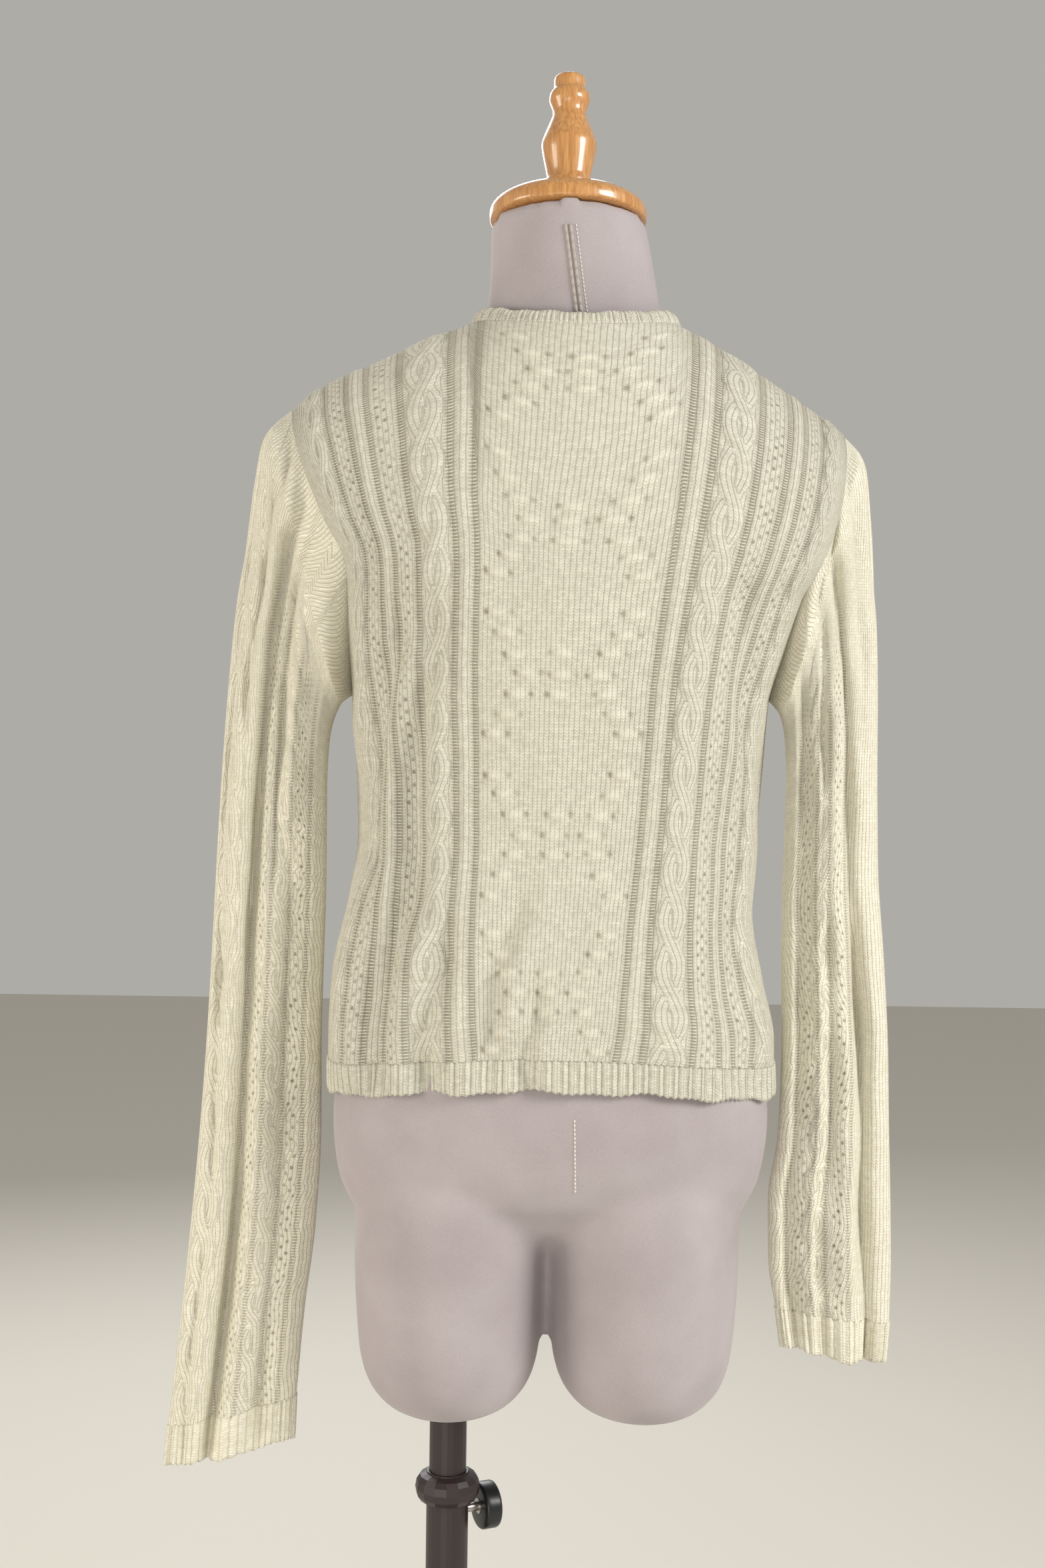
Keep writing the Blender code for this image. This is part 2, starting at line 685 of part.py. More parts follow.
def sleeve_section(table, hand_name, at, turn, out):
    """One ring of a sleeve. at runs down the table's rows; turn goes round from the outer edge over the
    back to the inner edge."""
    rows = np.arange(len(table))
    get = lambda name: float(smooth(rows, column(table, SLEEVE_COLUMNS, name), at))
    outer = np.array([get("outer_x"), get("middle_y"), get("outer_z")])
    inner = np.array([get("inner_x"), get("middle_y"), get("inner_z")])
    middle, arm = (outer + inner) / 2, (outer - inner) / 2
    reach = arm / np.linalg.norm(arm)
    cos, sin = np.cos(turn), np.sin(turn)
    width = np.linalg.norm(arm) + out
    thick = get("thick") / 2 + out
    across = np.sign(cos) * np.abs(cos) ** 0.9 * width
    depth = np.sign(sin) * np.abs(sin) ** 0.75 * thick
    centre = middle[None, :] + across[:, None] * reach[None, :]
    share_across = (1 - across / width) / 2
    depth = depth - np.sign(sin) * crease_depth(hand_name, turn, centre[:, 2], share_across)
    centre[:, 1] += depth
    return centre


def sleeve_rings(table, hand_name, steps, around, out):
    """Rings of the hanging sleeve, without the armhole."""
    turn = np.linspace(0, 2 * np.pi, around, endpoint=False)
    return [sleeve_section(table, hand_name, at, turn, out) for at in np.linspace(0, len(table) - 1, steps)]


def gathers(turn, height_share):
    """Small gathers over the sleeve's head, strongest at the shoulder."""
    top = np.exp(-((np.minimum(turn, 2 * np.pi - turn) / 0.9) ** 2))
    return GATHER_HEIGHT * top * np.cos(turn * GATHERS) * height_share


def ring_bridge(bm, first, second):
    count_first, count_second = len(first), len(second)
    places_first = np.arange(count_first + 1) / count_first
    places_second = np.arange(count_second + 1) / count_second
    bridge(bm, first + first[:1], second + second[:1], places_first, places_second)


def tube_wall(name, outer_rings, inner_rings):
    """A closed wall from rings of the outer face and of the inner face."""
    bm = bmesh.new()
    outer = [strand(bm, ring) for ring in outer_rings]
    inner = [strand(bm, ring) for ring in inner_rings]
    for rings in (outer, inner):
        for first, second in zip(rings, rings[1:]):
            ring_bridge(bm, first, second)
    ring_bridge(bm, outer[0], inner[0])
    ring_bridge(bm, outer[-1], inner[-1])
    bmesh.ops.triangulate(bm, faces=bm.faces)
    return mesh_object(name, bm, knit())


def sleeve(name, hand, table):
    hand_name = "left" if hand > 0 else "right"
    around, steps = 20, 25
    inner_around, inner_steps = 12, 15

    def head(count, out):
        turn = np.linspace(0, 2 * np.pi, count, endpoint=False)
        edge = armhole(hand, turn)
        edge[:, 0] += hand * SLEEVE_GAP
        middle = np.array([0.0, 0.0, (NECK_HEIGHT + ARMPIT) / 2 - 0.03])
        away = edge - middle
        away[:, 0] = 0
        edge += out * away / np.linalg.norm(away, axis=1)[:, None]
        return edge

    outer = [head(around, 0.0)] + sleeve_rings(table, hand_name, steps, around, 0.0)
    turn = np.linspace(0, 2 * np.pi, around, endpoint=False)
    for i in range(1, 7):
        outer[i][:, 0] += hand * gathers(turn, math.sin(math.pi * i / 7))
    inner = [head(inner_around, -WALL)] + sleeve_rings(table, hand_name, inner_steps, inner_around, -WALL)
    return tube_wall(name, outer, inner)


def cuff(name, hand, table):
    hand_name = "left" if hand > 0 else "right"
    outer = sleeve_rings(table, hand_name, 2, 2 * CUFF_RIBS, 0.0)
    raised = sleeve_rings(table, hand_name, 2, 2 * CUFF_RIBS, CUFF_RIB_RAISED)
    for plain, high in zip(outer, raised):
        plain[1::2] = high[1::2]
    return tube_wall(name, outer, sleeve_rings(table, hand_name, 2, 14, -WALL))


# ---------------------------------------------------------------------------------------------------
# Neckband, button bands and buttons
# ---------------------------------------------------------------------------------------------------

NECKBAND_HEIGHT = 0.010
NECKBAND_WALL = 0.0020
NECKBAND_GAP = 0.0013


def neck_edge():
    """Turns round the neck, from the wearer's left button band over the back to the right one, at which
    the panels' edges have points, and those points."""
    turns, points = [], []
    corners = [(NECK_X + NECK_HALF, 0.0), (NECK_X - NECK_HALF, math.pi)]
    lines = [(-1, front_columns(1)), (1, back_columns()[::-1]), (-1, front_columns(-1)[::-1])]
    for side, columns in lines:
        way = np.array([one.across[-1] for one in columns])
        edge = plain_point(side, way, np.full_like(way, CROWN))
        n = (edge[:, 0] - NECK_X) / NECK_HALF
        for point, share_x in zip(edge, n):
            if abs(share_x) < 0.985:
                points.append(point)
                turns.append(side * math.acos(share_x))
        if len(corners) > 0:
            corner_x, corner_turn = corners.pop(0)
            points.append((corner_x, 0.0, NECK_HEIGHT))
            turns.append(corner_turn)
    return np.array(turns), np.array(points)


def neck_rise(turn, x):
    """Directions up the neckband's height and out of its face. Beside the button bands it rises straight
    along them."""
    in_front = np.clip(-np.sin(turn), 0, 1)
    away = np.where(np.sin(turn) < 0, np.clip((np.abs(x) - BAND_HALF) / 0.02, 0, 1), 1)
    lean = np.stack([-np.cos(turn) * away, -np.sin(turn), 0 * turn], -1)
    lean = lean / np.linalg.norm(lean, axis=1)[:, None]
    up = np.array([0.0, 0.0, 1.0])
    slope = np.radians(62 - 22 * in_front)[:, None]
    return np.cos(slope) * lean + np.sin(slope) * up, -np.sin(slope) * lean + np.cos(slope) * up


def neckband():
    """A strip that stands up from the neck edge and leans in a little, open at the front."""
    turn, foot = neck_edge()
    rise, face = neck_rise(turn, foot[:, 0])
    foot = foot + rise * NECKBAND_GAP
    head = foot + rise * NECKBAND_HEIGHT
    at = np.arange(len(turn)) / (len(turn) - 1)
    bm = bmesh.new()
    lines = [
        strand(bm, foot),
        strand(bm, head),
        strand(bm, head - face * NECKBAND_WALL),
        strand(bm, foot - face * NECKBAND_WALL),
    ]
    for first, second in zip(lines, lines[1:] + lines[:1]):
        bridge(bm, first, second, at, at)
    for end in (0, -1):
        bm.faces.new([line[end] for line in lines])
    bmesh.ops.triangulate(bm, faces=bm.faces)
    return mesh_object("neckband", bm, knit())


def button_band(name, lift):
    """A strip down the middle of the front. The right band lies over the left."""
    bm = bmesh.new()
    levels = np.concatenate([np.linspace(HEM_LEVEL, YOKE, 13), np.linspace(YOKE, CROWN, 9)[1:]])
    lines = []
    for hand, out in ((-1, lift), (1, lift), (1, lift - WALL), (-1, lift - WALL)):
        way = band_edge(hand, levels, BAND_HALF)
        points = plain_point(-1, way, levels) + cloth_normal(-1, 0 * levels, levels) * out
        rise, _ = neck_rise(np.array([-np.pi / 2]), np.zeros(1))
        top = points[-1:] + rise * NECKBAND_HEIGHT
        lines.append(strand(bm, np.concatenate([points, top])))
    at = np.arange(len(levels) + 1) / len(levels)
    for first, second in zip(lines, lines[1:] + lines[:1]):
        bridge(bm, first, second, at, at)
    for end in (0, -1):
        bm.faces.new([line[end] for line in lines])
    bmesh.ops.triangulate(bm, faces=bm.faces)
    return mesh_object(name, bm, knit())


def turned(name, profile, finish, segments, place, turn_matrix=None, smooth_below=40):
    """A profile of (radius, height) turned about its axis, outer side from top to bottom."""
    bm = bmesh.new()
    line = [bm.verts.new((radius, 0, height)) for radius, height in profile]
    for first, second in zip(line, line[1:]):
        bm.edges.new((first, second))
    geometry = bm.verts[:] + bm.edges[:]
    bmesh.ops.spin(
        bm,
        geom=geometry,
        cent=(0, 0, 0),
        axis=(0, 0, 1),
        angle=2 * math.pi,
        steps=segments,
        use_merge=True,
    )
    bmesh.ops.remove_doubles(bm, verts=bm.verts, dist=1e-5)
    matrix = Matrix.Translation(place) @ (turn_matrix or Matrix.Identity(4))
    bmesh.ops.transform(bm, matrix=matrix, verts=bm.verts)
    return mesh_object(name, bm, finish, smooth_below)


def buttons():
    profile = (
        (0.0, BUTTON_HEIGHT - 0.0006),
        (BUTTON_RADIUS - 0.0020, BUTTON_HEIGHT),
        (BUTTON_RADIUS, BUTTON_HEIGHT - 0.0010),
        (BUTTON_RADIUS - 0.0013, 0.0),
        (0.0, 0.0),
    )
    finish = material("cream shell button", (0.75, 0.70, 0.58), 0.3)
    for number, level in enumerate(BUTTON_LEVELS, 1):
        normal = Vector(cloth_normal(-1, np.array([0.0]), np.array([level]))[0])
        seat = Vector(plain_point(-1, np.array([0.0]), np.array([level]))[0])
        turn = normal.to_track_quat("Z", "Y").to_matrix().to_4x4()
        place = seat + normal * (RIGHT_BAND_LIFT + BUTTON_GAP)
        turned(f"button_{number}", profile, finish, 10, place, turn)


# ---------------------------------------------------------------------------------------------------
# Dress form and stand
# ---------------------------------------------------------------------------------------------------

INSET_COLUMNS = ("level", "inset")
# From the cloth's outer face in to the form: close over the shoulders, looser where the cloth has folds.
INSETS = (
    (0.768, 0.0450),
    (0.780, 0.0200),
    (0.800, 0.0080),
    (0.830, 0.0040),
    (0.865, 0.0045),
    (0.900, 0.0080),
    (0.950, 0.0090),
    (1.040, 0.0130),
    (1.110, 0.0110),
    (1.165, 0.0085),
    (1.210, 0.0060),
    (1.260, 0.0042),
    (1.300, 0.0033),
    (1.396, 0.0033),
)
FRONT_EASE = 0.0075  # the upper fronts hang clear of the form
FORM_NECK_DROP = 0.010  # the form's neck starts this far under the neckband


def form_torso():
    """The form inside the cardigan: the cloth's own surface, moved in, closed at armholes and hips."""
    bm = bmesh.new()
    levels = np.concatenate([[0.768, 0.780, 0.800, 0.830, 0.865], PLAIN_LEVELS])
    rings = []
    for level in levels:
        inset = smooth(column(INSETS, INSET_COLUMNS, "level"), column(INSETS, INSET_COLUMNS, "inset"), level)
        loop = []
        for side, row in ((1, INNER_WAYS), (-1, INNER_WAYS[::-1])):
            flat = np.full_like(row, level)
            room = inset
            if side < 0 and level < CROWN:
                room = inset + FRONT_EASE * ease_in(1.22, 1.27, level)
            points = plain_point(side, row, flat) - cloth_normal(side, row, flat) * room
            points[:, 1] = side * np.maximum(side * points[:, 1], 0)
            if level <= ARMPIT:
                points[np.abs(row) > 0.999, 1] = 0
            if level == CROWN:
                from_neck = np.abs(points[:, 0] - NECK_X) - NECK_HALF
                points[from_neck > -0.004, 1] = 0
                points[:, 2] -= FORM_NECK_DROP * (1 - ease_in(-0.004, 0.035, from_neck))
            loop.extend(points)
        rings.append(strand(bm, loop))
    for first, second in zip(rings, rings[1:]):
        ring_bridge(bm, first, second)
    bm.faces.new(rings[0])
    bmesh.ops.remove_doubles(bm, verts=bm.verts, dist=0.0016)
    edges = [edge for edge in bm.edges if edge.is_boundary]
    bmesh.ops.holes_fill(bm, edges=edges)
    bmesh.ops.triangulate(bm, faces=bm.faces)
    return bm


def loft(bm, sections, count):
    """Closed loft through sections of (matrix, half_x, half_y)."""
    turn = np.linspace(0, 2 * np.pi, count, endpoint=False)
    rings = []
    for matrix, half_x, half_y in sections:
        ring = [matrix @ Vector((half_x * math.cos(a), half_y * math.sin(a), 0)) for a in turn]
        rings.append(strand(bm, ring))
    for first, second in zip(rings, rings[1:]):
        ring_bridge(bm, first, second)
    bm.faces.new(rings[0])
    bm.faces.new(rings[-1])


def helper(name, bm):
    """A closed mesh that a Boolean reads."""
    face_outwards(bm)
    mesh = bpy.data.meshes.new(name)
    bm.to_mesh(mesh)
    bm.free()
    made = bpy.data.objects.new(name, mesh)
    made.hide_render = True
    made.display_type = "WIRE"
    bpy.data.collections["Cutters"].objects.link(made)
    return made


def boolean(piece, other, operation):
    modifier = piece.modifiers.new(other.name, "BOOLEAN")
    modifier.operation = operation
    modifier.object = other
    modifier.solver = "EXACT"


def rod(name, radius, low, high, segments, place):
    bm = bmesh.new()
    length = high - low
    bmesh.ops.create_cone(bm, cap_ends=True, segments=segments, radius1=radius, radius2=radius, depth=length)
    bmesh.ops.translate(bm, verts=bm.verts, vec=Vector(place) + Vector((0, 0, (low + high) / 2)))
    return helper(name, bm)


def form_body():
    piece = mesh_object("form_body", form_torso(), jersey())
    for hand, label in ((1, "left"), (-1, "right")):
        bm = bmesh.new()
        sections = []
        for row in THIGH:
            part = dict(zip(THIGH_COLUMNS, row))
            place = Matrix.Translation((hand * (THIGH_X + part["shift_x"]), 0.002, part["height"]))
            sections.append((place, part["half_x"], part["half_y"]))
        loft(bm, sections, 14)
        boolean(piece, helper(f"thigh_{label}", bm), "UNION")
    bm = bmesh.new()
    sections = []
    for row in NECK:
        part = dict(zip(NECK_COLUMNS, row))
        lean = NECK_TILT * (part["height"] - NECK[0][0]) / (NECK[-1][0] - NECK[0][0])
        middle = Matrix.Translation((part["middle_x"], part["middle_y"], part["height"]))
        sections.append((middle @ Matrix.Rotation(lean, 4, "X"), part["half_x"], part["half_y"]))
    loft(bm, sections, 20)
    boolean(piece, helper("neck", bm), "UNION")
    socket = rod("mast_socket", MAST_RADIUS + FIT, 0.60, SOCKET_TOP, 20, (POLE_X, 0, 0))
    boolean(piece, socket, "DIFFERENCE")
    return piece


def neck_top():
    last = dict(zip(NECK_COLUMNS, NECK[-1]))
    place = Matrix.Translation((last["middle_x"], last["middle_y"], last["height"]))
    return place @ Matrix.Rotation(NECK_TILT, 4, "X")


def neck_cap_and_finial():
    cap_radius, rim, dome = 0.0522, 0.006, 0.022
    arc = [
        (cap_radius * math.sin(a), rim + (dome - rim) * math.cos(a))
        for a in np.linspace(0, math.pi / 2, 6)
    ]
    profile = [*arc, (cap_radius - 0.001, 0.0), (0.0, 0.0)]
    base = neck_top() @ Matrix.Translation((0, 0, FIT))
    turned("neck_cap", profile, lacquered_wood(), 24, base.translation, base.to_3x3().to_4x4())
    seat = base @ Matrix.Translation((0, 0, dome + FIT))
    finial = (
        (0.0, 0.0790),
        (0.0085, 0.0785),
        (0.0104, 0.0765),
        (0.0104, 0.0700),
        (0.0130, 0.0665),
        (0.0136, 0.0620),
        (0.0115, 0.0560),
        (0.0110, 0.0530),
        (0.0140, 0.0440),
        (0.0175, 0.0350),
        (0.0184, 0.0310),
        (0.0172, 0.0230),
        (0.0150, 0.0120),
        (0.0146, 0.0085),
        (0.0158, 0.0045),
        (0.0150, 0.0),
        (0.0, 0.0),
    )
    turned("finial", finial, lacquered_wood(), 14, seat.translation, seat.to_3x3().to_4x4())


def stand():
    pole = Vector((POLE_X, 0, 0))
    bore = TUBE_RADIUS + FIT
    base = (
        (0.0, BASE_HEIGHT - 0.004),
        (bore, BASE_HEIGHT - 0.004),
        (bore, BASE_HEIGHT + 0.016),
        (0.0240, BASE_HEIGHT + 0.014),
        (0.0270, BASE_HEIGHT),
        (BASE_RADIUS - 0.010, BASE_HEIGHT - 0.004),
        (BASE_RADIUS, BASE_HEIGHT - 0.010),
        (BASE_RADIUS, 0.0),
        (0.0, 0.0),
    )
    turned("base", base, dark_steel(), 28, pole)
    low = BASE_HEIGHT - 0.004 + FIT
    wall = (
        (TUBE_RADIUS, TUBE_TOP),
        (TUBE_RADIUS, low),
        (MAST_RADIUS + FIT, low),
        (MAST_RADIUS + FIT, TUBE_TOP),
        (TUBE_RADIUS, TUBE_TOP),
    )
    tube = turned("outer_tube", wall, dark_steel(), 24, pole)
    ring = [(bore, 0.0205)]
    ring += [
        (0.0172 + 0.0050 * math.cos(a), 0.0103 + 0.0090 * math.sin(a)) for a in np.linspace(1.2, -1.2, 5)
    ]
    ring += [(bore, 0.0), (bore, 0.0205)]
    turned("clamp_ring", ring, dark_steel(), 16, pole + Vector((0, 0, TUBE_TOP - 0.0215)))
    turn = Matrix.Rotation(KNOB_TURN + math.pi, 4, "Z") @ Matrix.Rotation(math.pi / 2, 4, "Y")
    screw_radius = 0.0032
    tip, disc_start, disc_end, disc_radius = MAST_RADIUS + FIT, 0.0232, 0.0352, 0.0160
    knob = (
        (0.0, disc_end),
        (disc_radius - 0.003, disc_end),
        (disc_radius, disc_end - 0.002),
        (disc_radius, disc_start + 0.002),
        (disc_radius - 0.003, disc_start),
        (screw_radius, disc_start),
        (screw_radius, tip + 0.0006),
        (0.0, tip + 0.0006),
    )
    place = pole + Vector((0, 0, KNOB_HEIGHT))
    turned("knob", knob, black_plastic(), 16, place, turn)
    hole = rod("screw_hole", screw_radius + FIT, 0.008, 0.030, 16, (0, 0, 0))
    hole.data.transform(Matrix.Translation(place) @ turn)
    boolean(tube, hole, "DIFFERENCE")
    bm = bmesh.new()
    length = SOCKET_TOP - FIT - MAST_BOTTOM
    radius = MAST_RADIUS
    bmesh.ops.create_cone(bm, cap_ends=True, segments=20, radius1=radius, radius2=radius, depth=length)
    bmesh.ops.translate(bm, verts=bm.verts, vec=pole + Vector((0, 0, MAST_BOTTOM + length / 2)))
    mesh_object("mast", bm, dark_steel(), 40)


# ---------------------------------------------------------------------------------------------------


def clear_scene():
    for obj in list(bpy.data.objects):
        bpy.data.objects.remove(obj, do_unlink=True)
    for name in ("Cardigan on dress form", "Cutters"):
        made = bpy.data.collections.new(name)
        bpy.context.scene.collection.children.link(made)


def main():
    clear_scene()
    back_panel()
    front_panel("front_left", 1)
    front_panel("front_right", -1)
    hem("hem_back", 1, -1, 1)
    start = (BAND_HALF + SEAM) / float(body("left", HEM_LEVEL))
    hem("hem_front_left", -1, start, 1)
    start = (BAND_HALF + SEAM) / float(body("right", HEM_LEVEL))
    hem("hem_front_right", -1, -1, -start)
    sleeve("sleeve_left", 1, SLEEVE_LEFT)
    sleeve("sleeve_right", -1, SLEEVE_RIGHT)
    cuff("cuff_left", 1, CUFF_LEFT)
    cuff("cuff_right", -1, CUFF_RIGHT)
    neckband()
    button_band("button_band_left", LEFT_BAND_LIFT)
    button_band("button_band_right", RIGHT_BAND_LIFT)
    buttons()
    form_body()
    neck_cap_and_finial()
    stand()


main()
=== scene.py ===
"""The looks of a cable-knit cardigan on its limbless dress form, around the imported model.

Metres, +Z up, the front opening faces -Y and the wearer's left is +X. The cloth pieces are read from the
same body tables as the solids, with the knitting, folds and gathers drawn finer.
"""

import math

import bpy
import numpy as np
from mathutils import Matrix, Vector


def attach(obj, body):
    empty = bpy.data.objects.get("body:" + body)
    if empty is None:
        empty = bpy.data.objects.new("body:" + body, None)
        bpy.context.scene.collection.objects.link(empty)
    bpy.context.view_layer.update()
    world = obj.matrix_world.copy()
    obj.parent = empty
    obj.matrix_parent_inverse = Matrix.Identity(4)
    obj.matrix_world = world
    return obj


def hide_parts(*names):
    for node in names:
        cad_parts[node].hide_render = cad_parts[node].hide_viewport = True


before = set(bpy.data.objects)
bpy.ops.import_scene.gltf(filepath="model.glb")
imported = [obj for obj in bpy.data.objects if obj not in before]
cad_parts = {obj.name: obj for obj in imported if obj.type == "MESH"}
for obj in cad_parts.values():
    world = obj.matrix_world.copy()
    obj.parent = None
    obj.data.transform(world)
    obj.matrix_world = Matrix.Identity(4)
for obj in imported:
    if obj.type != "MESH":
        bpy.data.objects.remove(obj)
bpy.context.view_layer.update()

# ---------------------------------------------------------------------------------------------------
# Sizes, as in the solids
# ---------------------------------------------------------------------------------------------------

WALL = 0.0024  # thickness of the knitted cloth
SEAM = 0.0003  # gap between two pieces that are sewn together
FIT = 0.0003  # gap between a turned piece and what it stands on
# A level is a height on the cloth, counted on past the yoke as if the cloth went straight up.
HEM_LEVEL = 0.880
PANEL_LEVEL = 0.900
ARMPIT = 1.132
YOKE = 1.200
BOBBLE_ROW = 0.0127  # height of a row of bobbles
CROWN = PANEL_LEVEL + 39 * BOBBLE_ROW  # where the panels end, at the neckline and the shoulder seams
NECK_X = -0.0105  # middle of the neckline
NECK_HALF = 0.0705
NECK_HEIGHT = 1.380  # where the neckline meets the shoulders
BACK_NECK_DROP, FRONT_NECK_DROP = 0.009, 0.074
BACK_NECK_DEPTH, FRONT_NECK_DEPTH = 0.068, 0.078
BAND_HALF = 0.012  # half width of a button band
RIGHT_BAND_LIFT = WALL + SEAM  # the right band lies over the left
BUTTON_GAP = 0.0008  # a button's thread shank
BUTTON_LEVELS = (0.892, 0.968, 1.044, 1.120, 1.196, 1.272)
SLEEVE_GAP = -0.0004  # how far out from its armhole's edge a sleeve starts
POLE_X = 0.0655

BODY_COLUMNS = ("level", "left", "right", "back", "front")
# The cloth's outer face, by its half widths to the left and right and its depths.
BODY = (
    (0.780, 0.134, 0.134, 0.090, 0.084),
    (0.820, 0.146, 0.147, 0.104, 0.096),
    (0.865, 0.1500, 0.1525, 0.112, 0.106),
    (0.915, 0.1500, 0.1520, 0.112, 0.106),
    (0.950, 0.1465, 0.1430, 0.108, 0.101),
    (0.996, 0.1375, 0.1360, 0.098, 0.095),
    (1.040, 0.1315, 0.1380, 0.091, 0.093),
    (1.075, 0.1325, 0.1405, 0.091, 0.098),
    (1.132, 0.1360, 0.1445, 0.096, 0.112),
    (1.165, 0.1370, 0.1510, 0.099, 0.116),
    (1.208, 0.1365, 0.1630, 0.100, 0.112),
    (1.228, 0.1385, 0.1700, 0.100, 0.108),
    (1.258, 0.1510, 0.1790, 0.099, 0.104),
    (1.298, 0.1650, 0.1860, 0.097, 0.100),
    (1.340, 0.1745, 0.1895, 0.095, 0.098),
    (1.396, 0.1790, 0.1905, 0.093, 0.096),
)
SHOULDER_COLUMNS = ("out", "left", "right")
# Height of the shoulder seams, by the distance out from the middle.
SHOULDER = (
    (0.060, 1.3800, 1.3870),
    (0.081, 1.3730, 1.3800),
    (0.129, 1.3510, 1.3525),
    (0.156, 1.3390, 1.3350),
    (0.179, 1.3220, 1.3190),
    (0.191, 1.3120, 1.3100),
)
LADDER_COLUMNS = ("level", "left", "right")
# How far round the back its two ladder lines lie, the side seams being at 1.
LADDERS = (
    (0.880, 0.204, 0.151),
    (1.040, 0.248, 0.254),
    (1.160, 0.248, 0.276),
    (1.230, 0.243, 0.280),
    (1.310, 0.206, 0.298),
    (1.396, 0.187, 0.311),
)
FOLD_COLUMNS = ("side", "low_x", "low", "high_x", "high", "spread", "raised")
# Folds of the back (1) and fronts (-1) by their two ends. One that is raised by less than 0 is a valley.
FOLDS = (
    (1, 0.088, 1.010, 0.080, 1.165, 0.010, -0.0072),
    (1, 0.071, 1.000, 0.069, 1.130, 0.013, 0.0036),
    (1, 0.122, 1.030, 0.103, 1.170, 0.010, -0.0080),
    (1, 0.104, 1.020, 0.093, 1.150, 0.011, 0.0040),
    (1, 0.112, 0.900, 0.099, 0.995, 0.009, -0.0078),
    (1, 0.128, 0.905, 0.118, 1.000, 0.012, 0.0042),
    (1, 0.080, 0.885, 0.070, 0.965, 0.009, -0.0064),
    (1, 0.095, 0.885, 0.088, 0.975, 0.010, 0.0040),
    (1, 0.060, 0.890, 0.054, 0.980, 0.012, 0.0030),
    (1, 0.041, 0.925, 0.022, 0.995, 0.009, -0.0052),
    (1, 0.026, 0.930, 0.010, 0.985, 0.011, 0.0028),
    (1, 0.015, 0.880, 0.010, 0.925, 0.006, -0.0044),
    (1, 0.002, 0.885, -0.002, 0.930, 0.008, 0.0020),
    (1, -0.112, 0.925, -0.117, 1.070, 0.011, -0.0040),
    (1, -0.130, 0.890, -0.124, 0.990, 0.010, -0.0040),
    (1, -0.138, 1.080, -0.120, 1.190, 0.010, -0.0046),
    (1, -0.090, 0.900, -0.096, 1.010, 0.016, 0.0024),
    (-1, 0.100, 0.900, 0.088, 1.060, 0.012, -0.0056),
    (-1, 0.083, 0.905, 0.073, 1.040, 0.010, 0.0030),
    (-1, -0.104, 0.900, -0.090, 1.050, 0.012, -0.0056),
    (-1, 0.060, 0.890, 0.052, 0.980, 0.010, -0.0040),
    (-1, -0.066, 0.890, -0.055, 1.000, 0.010, -0.0040),
    (-1, 0.118, 1.080, 0.100, 1.170, 0.010, -0.0050),
    (-1, -0.122, 1.080, -0.104, 1.170, 0.010, -0.0050),
)
SLEEVE_COLUMNS = ("outer_x", "outer_z", "inner_x", "inner_z", "middle_y", "thick")
# Sleeves and cuffs from the armhole down, by their outer and inner edges.
SLEEVE_LEFT = (
    (0.1870, 1.3140, 0.1420, 1.1290, 0.006, 0.088),
    (0.1950, 1.3000, 0.1455, 1.1220, 0.006, 0.072),
    (0.2000, 1.2720, 0.1490, 1.1120, 0.006, 0.058),
    (0.2060, 1.2360, 0.1510, 1.1000, 0.005, 0.048),
    (0.2130, 1.1980, 0.1520, 1.0850, 0.004, 0.042),
    (0.2180, 1.1500, 0.1525, 1.0680, 0.003, 0.038),
    (0.2220, 1.1000, 0.1525, 1.0450, 0.002, 0.036),
    (0.2260, 1.0300, 0.1525, 1.0050, 0.002, 0.034),
    (0.2290, 0.9600, 0.1535, 0.9540, 0.003, 0.034),
    (0.2320, 0.9000, 0.1545, 0.8970, 0.004, 0.034),
    (0.2360, 0.8400, 0.1540, 0.8400, 0.005, 0.032),
    (0.2420, 0.7700, 0.1570, 0.7750, 0.006, 0.030),
    (0.2490, 0.7000, 0.1640, 0.7150, 0.007, 0.028),
    (0.2560, 0.6340, 0.1690, 0.6560, 0.008, 0.026),
)
CUFF_LEFT = (
    (0.2563, 0.6346, 0.1690, 0.6566, 0.008, 0.026),
    (0.2590, 0.6060, 0.1700, 0.6270, 0.008, 0.024),
)
SLEEVE_RIGHT = (
    (-0.1970, 1.3030, -0.1500, 1.1270, 0.006, 0.088),
    (-0.2030, 1.2880, -0.1535, 1.1180, 0.006, 0.070),
    (-0.2070, 1.2540, -0.1555, 1.1060, 0.006, 0.056),
    (-0.2110, 1.2180, -0.1565, 1.0920, 0.005, 0.047),
    (-0.2150, 1.1820, -0.1570, 1.0760, 0.004, 0.042),
    (-0.2170, 1.1350, -0.1570, 1.0550, 0.003, 0.041),
    (-0.2180, 1.0850, -0.1565, 1.0300, 0.002, 0.040),
    (-0.2200, 1.0200, -0.1560, 0.9950, 0.002, 0.039),
    (-0.2250, 0.9600, -0.1565, 0.9500, 0.003, 0.038),
    (-0.2290, 0.9000, -0.1575, 0.8950, 0.004, 0.037),
    (-0.2310, 0.8400, -0.1560, 0.8400, 0.005, 0.035),
    (-0.2330, 0.7900, -0.1500, 0.7950, 0.006, 0.032),
    (-0.2340, 0.7450, -0.1510, 0.7520, 0.007, 0.029),
    (-0.2335, 0.7120, -0.1560, 0.7210, 0.008, 0.026),
)
CUFF_RIGHT = (
    (-0.2335, 0.7126, -0.1560, 0.7216, 0.008, 0.026),
    (-0.2320, 0.6840, -0.1600, 0.6950, 0.008, 0.024),
)
CREASE_COLUMNS = ("sleeve", "face", "low_share", "low", "high_share", "high", "spread", "depth")
